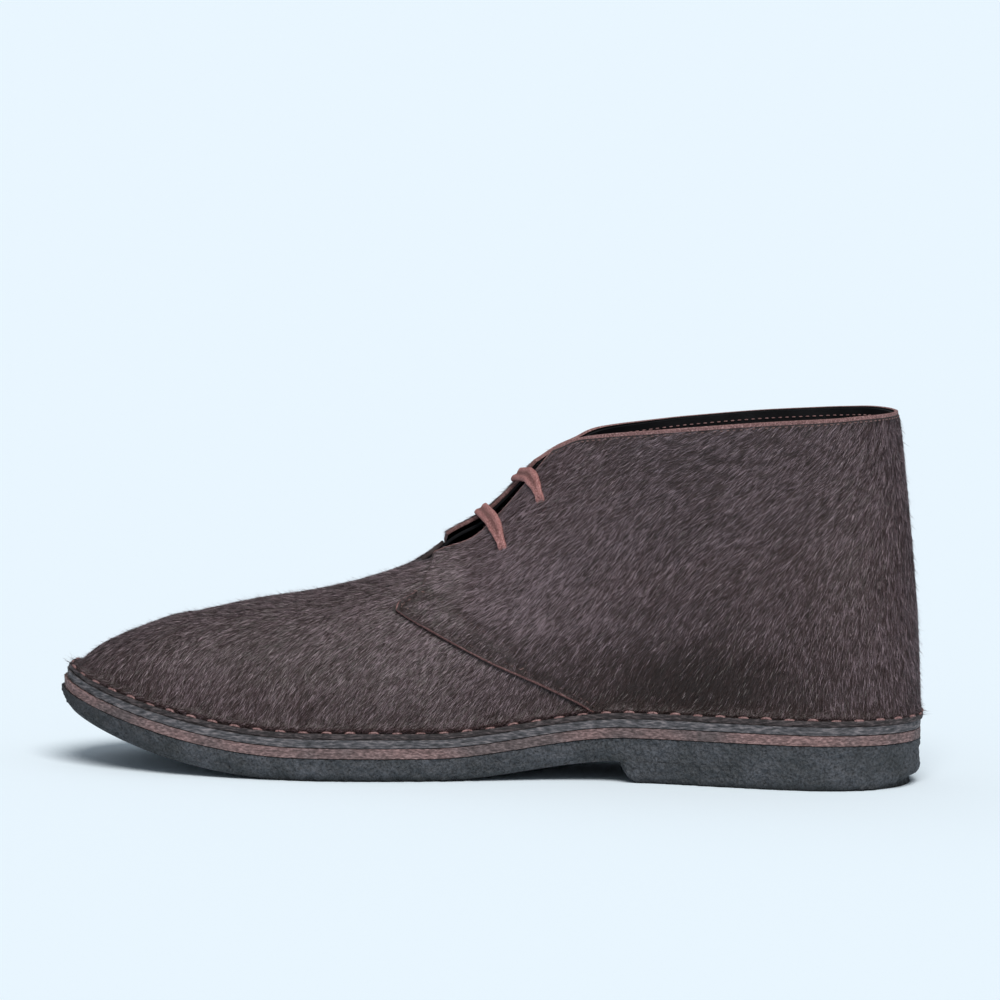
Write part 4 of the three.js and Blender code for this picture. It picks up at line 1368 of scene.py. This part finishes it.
def quarter_stitches():
    """Both stitch rows of the quarter on both sides of the boot."""
    parts = []
    bar = bar_row[bar_row[:, 0] < QUARTER_TIP - 2]
    rows = [edge_row[edge_row[:, 0] > 60], bar]
    for side in (1, -1):
        for row in rows:
            line, up = on_side(row, side, QUARTER_STEP)
            parts.append(stitches(line, up, 2.6, 0.7, 0.27, 0.4))
    return join(parts)


def flange_stitches():
    """Long stitches round the turned-out edge, half way between wall and rim."""
    ring = edge_grid[:, 6]
    ring = np.concatenate([ring, ring[:1]])
    up = np.repeat([[0.0, 0.0, 1.0]], len(ring), axis=0)
    return stitches(ring, up, 8.0, 0.55, 0.5, 0.72, 0.6)


def collar_stitches(grow, below, pitch):
    """A row at an even distance under the collar's edge, all the way round the back."""
    margin = np.minimum(collar_margin(outer_skin), throat_margin(outer_skin)) - below
    _, high, rays = cut_levels(margin)
    order = run_of(rays & (ray["x"] < along(COLLAR_FRONT_AT) + 18), outer_side_start)
    u, v = order.astype(float), high[order]
    up = sample(away, u, v)
    side = 1 if grow > 0 else -1
    return stitches(sample(skin, u, v) + grow * up, side * up, pitch, 0.6, 0.22, 0.25)


THREAD = thread_finish("thread", (84, 58, 56), (138, 108, 104))
LONG_THREAD = thread_finish("long_thread", (92, 60, 58), (166, 128, 126))
for name, finish, (points, faces) in (
    ("quarter_stitches", THREAD, quarter_stitches()),
    ("edge_stitches", LONG_THREAD, flange_stitches()),
    ("collar_stitches", THREAD, collar_stitches(QUARTER_STEP, 1.7, 2.2)),
    ("lining_stitches", LONG_THREAD, collar_stitches(-0.95, 3.0, 2.4)),
):
    add_piece(name, points, faces, [finish], "thread")

# %% [markdown]
# The coat is what one sees first. Calf hair is short and lies flat, and it all flows one
# way: forwards and down on the quarters, straight down at the heel and at the toe. The
# table gives its fall below the level at places in side view, and a second table holds
# soft patches of darker or paler hair.

# %% How the coat lies
STRAND_LENGTH, STRAND_WIDTH, STRAND_LIFT = 3.6, 0.22, 0.45
STRANDS_PER_AREA = 9.5
BARE_COLLAR, BARE_EDGE, BARE_GROOVE = 1.0, 0.35, 0.7
WALK_STEPS = 3
CLUMP = 2.6
COMB = {
    "at": [0.90, 0.72, 0.72, 0.61, 0.527, 0.353, 0.32, 0.09, 0.263, 0.043],
    "height": [0.23, 0.45, 0.25, 0.60, 0.61, 0.445, 0.28, 0.28, 0.95, 0.90],
    "fall": [75, 45, 68, 32, 25, 50, 62, 88, 20, 45],
}
PATCHES = {
    "at": [0.26, 0.47, 0.86, 0.08, 0.62, 0.73],
    "height": [0.28, 0.52, 0.16, 0.62, 0.38, 0.31],
    "length": [34, 34, 46, 22, 26, 24],
    "width": [12, 22, 10, 34, 14, 8],
    "tone": [-0.65, 0.15, -0.07, -0.03, 0.06, -0.12],
}


def side_bells(points, table, name):
    """Sum of a table's soft bells in side view."""
    total = np.zeros(len(points))
    for row in range(len(table["at"])):
        dx = (points[:, 0] - along(table["at"][row])) / table["length"][row]
        dz = (points[:, 2] - table["height"][row] * UPPER_TOP) / table["width"][row]
        total += table[name][row] * np.exp(-dx * dx - dz * dz)
    return total


def combed(points):
    """Fall of the coat in radians: the table's values, each weighted by one over its
    squared distance in side view."""
    total, weights = np.zeros(len(points)), np.zeros(len(points))
    for at, height, fall in zip(*COMB.values()):
        dx, dz = points[:, 0] - along(at), points[:, 2] - height * UPPER_TOP
        weight = 1 / (dx * dx + dz * dz + 60)
        total += weight * fall
        weights += weight
    return np.radians(total / weights)


def scattered(points, size, seed):
    """A random value from -1 to 1 for each small cell of space, whose borders wander."""
    table = np.random.default_rng(seed).uniform(-1, 1, 4096)
    wander = np.stack([grain(points, 1.5 * size, seed + k) for k in (1, 2, 3)], axis=1)
    x, y, z = np.floor(points / size + 0.6 * wander).astype(np.int64).T
    return table[(x * 73856093 ^ y * 19349663 ^ z * 83492791) & 4095]


def groove(points):
    """How deep each point lies in a seam's groove, from 0 to 1: a bell of its distance. It sets the painted
    shade in the grooves.
    """
    x, z = points[:, 0], points[:, 2]
    near = np.minimum(line_distance(x, z, edge_row), line_distance(x, z, bar_row))
    return np.exp(-((near / 1.1) ** 2))


def unit(vectors):
    """Vectors scaled to length one."""
    return vectors / np.maximum(np.linalg.norm(vectors, axis=-1, keepdims=True), 1e-9)


def value(field, u, v):
    """A grid of numbers read at ray u and level v."""
    return sample(field[..., None], u, v)[..., 0]


print("fall at the toe", round(float(np.degrees(combed(np.array([[250.0, 0, 30]]))[0]))), "degrees")

# %% [markdown]
# Strands are rooted evenly by area: a cell of the grid is drawn with a chance that
# follows its area, then a place in it. From there a strand walks over the surface in
# three short steps. A step is split into parts along the two directions of the grid by
# least squares, which keeps the strand on the curved surface. It ends early where it
# would pass a cut edge.

# %% Roots and walks
def even_rays():
    """Ray numbers at even steps round the foot: where rays stand close, few are taken."""
    stations = ray_stations()
    even = np.linspace(0, FAN_CENTRE, 140)[1:-1]
    even = np.interp(even, stations, np.arange(len(stations)))
    last = HEEL_RAYS + 2 * len(stations) + 2 * TOE_RAYS - 2
    toe = HEEL_RAYS + len(stations) + np.arange(2 * TOE_RAYS - 1)
    parts = [np.arange(HEEL_RAYS), HEEL_RAYS + even, toe, (last - even)[::-1], np.arange(last + 1, RAYS)]
    return np.concatenate(parts)


def strand_roots(ground, field, wanted, rng):
    """Random places on a surface grid where the field is positive, even by area."""
    across = (np.roll(ground, -1, axis=0) - ground)[:, :-1]
    rise = ground[:, 1:] - ground[:, :-1]
    area = np.linalg.norm(np.cross(across, rise), axis=2)
    area = area * (np.maximum(field[:, 1:], field[:, :-1]) > 0) * wanted[:, None]
    chosen = rng.choice(area.size, int(area.sum() * STRANDS_PER_AREA), p=area.ravel() / area.sum())
    u = chosen // area.shape[1] + rng.random(len(chosen))
    v = chosen % area.shape[1] + rng.random(len(chosen))
    keep = value(field, u, v) > 0
    return u[keep], v[keep]


def walk(ground, u, v, direction, step):
    """Ray and level one step further in a direction: a Pu + b Pv is as near as possible
    to the direction, with Pu and Pv the surface's own directions."""
    top = ground.shape[1] - 1
    low, high = np.clip(v - 0.5, 0, top), np.clip(v + 0.5, 0, top)
    pu = sample(ground, u + 0.5, v) - sample(ground, u - 0.5, v)
    pv = (sample(ground, u, high) - sample(ground, u, low)) / np.maximum(high - low, 0.1)[:, None]
    uu, uv, vv = ((a * b).sum(1) for a, b in ((pu, pu), (pu, pv), (pv, pv)))
    du, dv = (pu * direction).sum(1), (pv * direction).sum(1)
    size = np.maximum(uu * vv - uv * uv, 1e-6)
    a, b = (du * vv - dv * uv) / size * step, (dv * uu - du * uv) / size * step
    return u + np.clip(a, -8, 8), np.clip(v + np.clip(b, -12, 12), 0, top)


def strand_paths(ground, up, field, u, v, flow, length, overhang):
    """Walks all strands at once. Returns their points and upward directions step by step,
    and how many steps each one took before it met an edge."""
    place, normal = sample(ground, u, v), unit(sample(up, u, v))
    path, ups = [place], [normal]
    alive, straight = np.ones(len(u), bool), np.zeros(len(u), bool)
    taken = np.zeros(len(u), int)
    step = length / WALK_STEPS
    for _ in range(WALK_STEPS):
        direction = flow(place, normal)
        u, v = walk(ground, u, v, direction, step)
        landed = sample(ground, u, v)
        chord = np.linalg.norm(landed - place, axis=1)
        straight |= (chord > 1.7 * step) | (chord < 0.4 * step)
        place = np.where(straight[:, None], place + direction * step[:, None], landed)
        normal = np.where(straight[:, None], normal, unit(sample(up, u, v)))
        alive &= value(field, u, v) > -overhang
        taken += alive
        path.append(place)
        ups.append(normal)
    return np.stack(path), np.stack(ups), taken


def strand_mesh(path, ups, taken, width, tip_lift, roll):
    """One slim triangle a strand: two points at its root, and a tip off the hide."""
    row = np.arange(path.shape[1])
    root, root_up, tip, tip_up = path[0], ups[0], path[taken, row], ups[taken, row]
    aside = unit(np.cross(tip - root, root_up))
    across = aside * np.cos(roll)[:, None] + root_up * np.sin(roll)[:, None]
    across = across * width[:, None] / 2
    root = root - 0.03 * root_up
    tip = tip + tip_lift[:, None] * tip_up
    points = np.stack([root - across, root + across, tip], axis=1).reshape(-1, 3)
    return points, np.arange(len(points)).reshape(-1, 3)


# %% The coat
def coat(name, ground, up, field, wanted, seed, seam=None, flow_by=None, size=1.0, overhang=0.4, passing=0.0):
    """Grows the strands of one piece. Clumps share a turn and a tone, hair beside a seam
    is pressed flat, and the passing share of strands may stick out over an edge."""
    rng = np.random.default_rng(seed)
    u, v = strand_roots(ground, field, wanted, rng)
    start = sample(ground, u, v)
    count = len(u)
    clump = scattered(start, CLUMP, 301)
    turn = np.radians(9 * grain(start, 26, 311) + 6 * clump + 9 * rng.standard_normal(count))
    fall = combed(start)
    near = np.full(count, 99.0) if seam is None else value(seam, u, v)
    beside = 1 - 0.65 * np.exp(-((near / 1.8) ** 2))

    def flow(place, normal):
        base = np.stack([np.cos(fall), 0 * fall, -np.sin(fall)], axis=1)
        if flow_by is not None:
            base = flow_by(place)
        base = unit(base - (base * normal).sum(1, keepdims=True) * normal)
        return base * np.cos(turn)[:, None] + np.cross(normal, base) * np.sin(turn)[:, None]

    stray = rng.random(count) < 0.035
    length = STRAND_LENGTH * size * np.clip(1 + 0.28 * rng.standard_normal(count), 0.45, 1.7)
    length = length * np.where(stray, 0.7, 1) * (0.55 + 0.45 * beside)
    free = np.where(rng.random(count) < passing, 1.0, overhang)
    path, ups, taken = strand_paths(ground, up, field, u, v, flow, length, free)
    keep = taken > 0
    tip_lift = STRAND_LIFT * beside * (1 + 0.35 * clump + 0.5 * rng.standard_normal(count)).clip(0.35, 2.5)
    tip_lift = tip_lift + np.where(stray, rng.uniform(0.4, 2.0, count), 0)
    width = STRAND_WIDTH * rng.uniform(0.75, 1.35, count)
    roll = np.radians(22) * rng.standard_normal(count)
    points, faces = strand_mesh(
        path[:, keep], ups[:, keep], taken[keep], width[keep], tip_lift[keep], roll[keep]
    )
    tone = 0.45 + 0.1 * clump + 0.34 * rng.standard_normal(count) + 0.06 * grain(start, 12, 321)
    tone = np.clip(tone + 0.06 * grain(start, 50, 331) + side_bells(start, PATCHES, "tone"), 0, 1)
    # Painted shade: strands low on the upper, near its foot, are darkened.
    painted_foot_shade = 0.3 * np.exp(-(start[:, 2] - upper_base(start[:, 0])) / 5)
    tone = np.clip(tone - painted_foot_shade, 0, 1)
    tone = np.repeat(tone[keep], 3)
    # Painted shade: strands in a seam's groove are darkened.
    if seam is not None:
        tone = np.clip(tone - 0.6 * groove(points), 0, 1)
    along_strand = np.tile([0, 0, 1.0], int(keep.sum()))
    return add_piece(
        name, points, faces, [COAT], "hair_leather", sharp=0,
        tone=tone, along=along_strand,
    )


even = even_rays()
even_grid = np.meshgrid(even, np.arange(LEVELS, dtype=float), indexing="ij")
ground, ground_up = sample(skin, *even_grid), unit(sample(away, *even_grid))
inner_rays = np.arange(len(even)) < len(even) / 2
seam_grid, bar_grid = value(seam_near, *even_grid), value(bar_near, *even_grid)
quarter_coat = np.minimum(opening_margin - BARE_COLLAR, quarter_margin(outer_skin) - BARE_EDGE)
quarter_coat = value(np.minimum(quarter_coat, above_foot), *even_grid)
quarter_coat = np.minimum(quarter_coat, bar_grid - BARE_GROOVE)
vamp_coat = np.minimum(vamp_field, 0.5 - quarter_margin(outer_skin))
vamp_coat = value(vamp_coat, *even_grid)
quarter_ground = ground + QUARTER_STEP * ground_up
for side, wanted in (("inner", inner_rays), ("outer", ~inner_rays)):
    coat(f"coat_quarter_{side}", quarter_ground, ground_up, quarter_coat, wanted, 401, seam_grid)
    coat(f"coat_vamp_{side}", ground, ground_up, vamp_coat, wanted, 402, overhang=2.0)

# %% Hair on the turned-out edge
def outward_flow(place):
    """Outwards from the foot's middle, and a little forwards."""
    out = place - np.array([[110.0, 0.0, 0.0]]) * np.clip(place[:, :1] / 110, 0, 1.9)
    return unit(unit(out * (1, 1, 0)) + (0.5, 0, -0.2))


edge_top = edge_grid[:, :8]
edge_columns = np.meshgrid(even, np.arange(8.0), indexing="ij")
edge_ground = sample(edge_top, *edge_columns)
edge_turns = np.gradient(edge_ground, axis=1)
edge_up = unit(np.cross(edge_turns, np.roll(edge_ground, -1, axis=0) - edge_ground))
if edge_up[..., 2].mean() < 0:
    edge_up = -edge_up
edge_field = np.linalg.norm(edge_ground[:, -1:] - edge_ground, axis=2)
coat(
    "coat_edge", edge_ground, edge_up, edge_field, np.ones(len(even), bool), 403,
    flow_by=outward_flow, size=0.8, overhang=-0.05, passing=0.12,
)

# %% [markdown]
# The camera stands on the inner side of the boot, a little over two metres away with a
# long lens, so that the boot is seen almost square on from just above the floor.

# %% Camera
CAMERA_PLACE = np.array([-168.1, 2053.0, 289.5]) * MM
CAMERA_RIGHT = np.array([-0.9908, -0.1349, 0.0116])
CAMERA_UP = np.array([0.0241, -0.0915, 0.9955])
CAMERA_LENS, CAMERA_SENSOR = 216, 36


def add_camera():
    """A camera from its place and two of its directions."""
    data = bpy.data.cameras.new("camera")
    data.lens, data.sensor_width = CAMERA_LENS, CAMERA_SENSOR
    data.clip_end = 100
    camera = bpy.data.objects.new("camera", data)
    bpy.context.scene.collection.objects.link(camera)
    back = np.cross(CAMERA_RIGHT, CAMERA_UP)
    turn = np.stack([CAMERA_RIGHT, CAMERA_UP, back / np.linalg.norm(back)], axis=1)
    world = Matrix.Identity(4)
    for row in range(3):
        world[row][:3] = turn[row]
        world[row][3] = CAMERA_PLACE[row]
    camera.matrix_world = world
    bpy.context.scene.camera = camera


# %% [markdown]
# The stage is one wide pale disc. The world lights it evenly from all sides, and two
# soft suns give the boot its form: they light every part of the floor alike, so the
# background stays plain and only the boot's own soft shadow shows.

# %% Floor and light
FLOOR_COLOUR = (0.827, 0.919, 0.989, 1)
FLOOR_SIDES = 96
FLOOR_RINGS = np.array([0.6, 4.0, 40.0])
SKY_COLOUR, SKY_STRENGTH = (0.82, 0.91, 1.0, 1), 0.3


def add_floor():
    """A disc so wide that its rim lies far outside the picture."""
    material, _, _, shader, _ = new_finish("stage_paper", 1.0, Specular_IOR_Level=0.0)
    shader.inputs["Base Color"].default_value = FLOOR_COLOUR
    angle = np.linspace(0, 2 * np.pi, FLOOR_SIDES, endpoint=False)
    spokes = np.stack([np.cos(angle), np.sin(angle), 0 * angle], axis=1)
    grid = (spokes[:, None] * FLOOR_RINGS[:, None]).reshape(-1, 3)
    points = np.concatenate([grid, [[0.0, 0.0, 0.0]]])
    faces = grid_faces(FLOOR_SIDES, len(FLOOR_RINGS), closed=True)[:, ::-1]
    rim = np.arange(FLOOR_SIDES) * len(FLOOR_RINGS)
    middle = np.stack([np.full(FLOOR_SIDES, len(grid)), rim, np.roll(rim, -1)], axis=1)
    mesh = bpy.data.meshes.new("stage")
    mesh.from_pydata(points.tolist(), [], np.concatenate([faces, middle]).tolist())
    mesh.materials.append(material)
    stage = bpy.data.objects.new("stage", mesh)
    bpy.context.scene.collection.objects.link(stage)


def add_sun(name, towards, strength, softness, colour):
    """A sun that shines from a direction, with its disc softness degrees wide."""
    data = bpy.data.lights.new(name, "SUN")
    data.energy, data.angle, data.color = strength, np.radians(softness), colour
    light = bpy.data.objects.new(name, data)
    bpy.context.scene.collection.objects.link(light)
    light.rotation_mode = "QUATERNION"
    light.rotation_quaternion = Vector(towards).to_track_quat("Z", "Y")


add_camera()
add_floor()
add_sun("front", (-0.2, 0.6, 0.95), 2.6, 36, (1.0, 0.985, 0.955))
add_sun("behind", (0.35, -0.5, 0.9), 0.2, 60, (0.96, 0.98, 1.0))
world = bpy.data.worlds.new("studio")
world.use_nodes = True
world.node_tree.nodes["Background"].inputs["Color"].default_value = SKY_COLOUR
world.node_tree.nodes["Background"].inputs["Strength"].default_value = SKY_STRENGTH
bpy.context.scene.world = world
bpy.context.scene.view_settings.view_transform = "Standard"
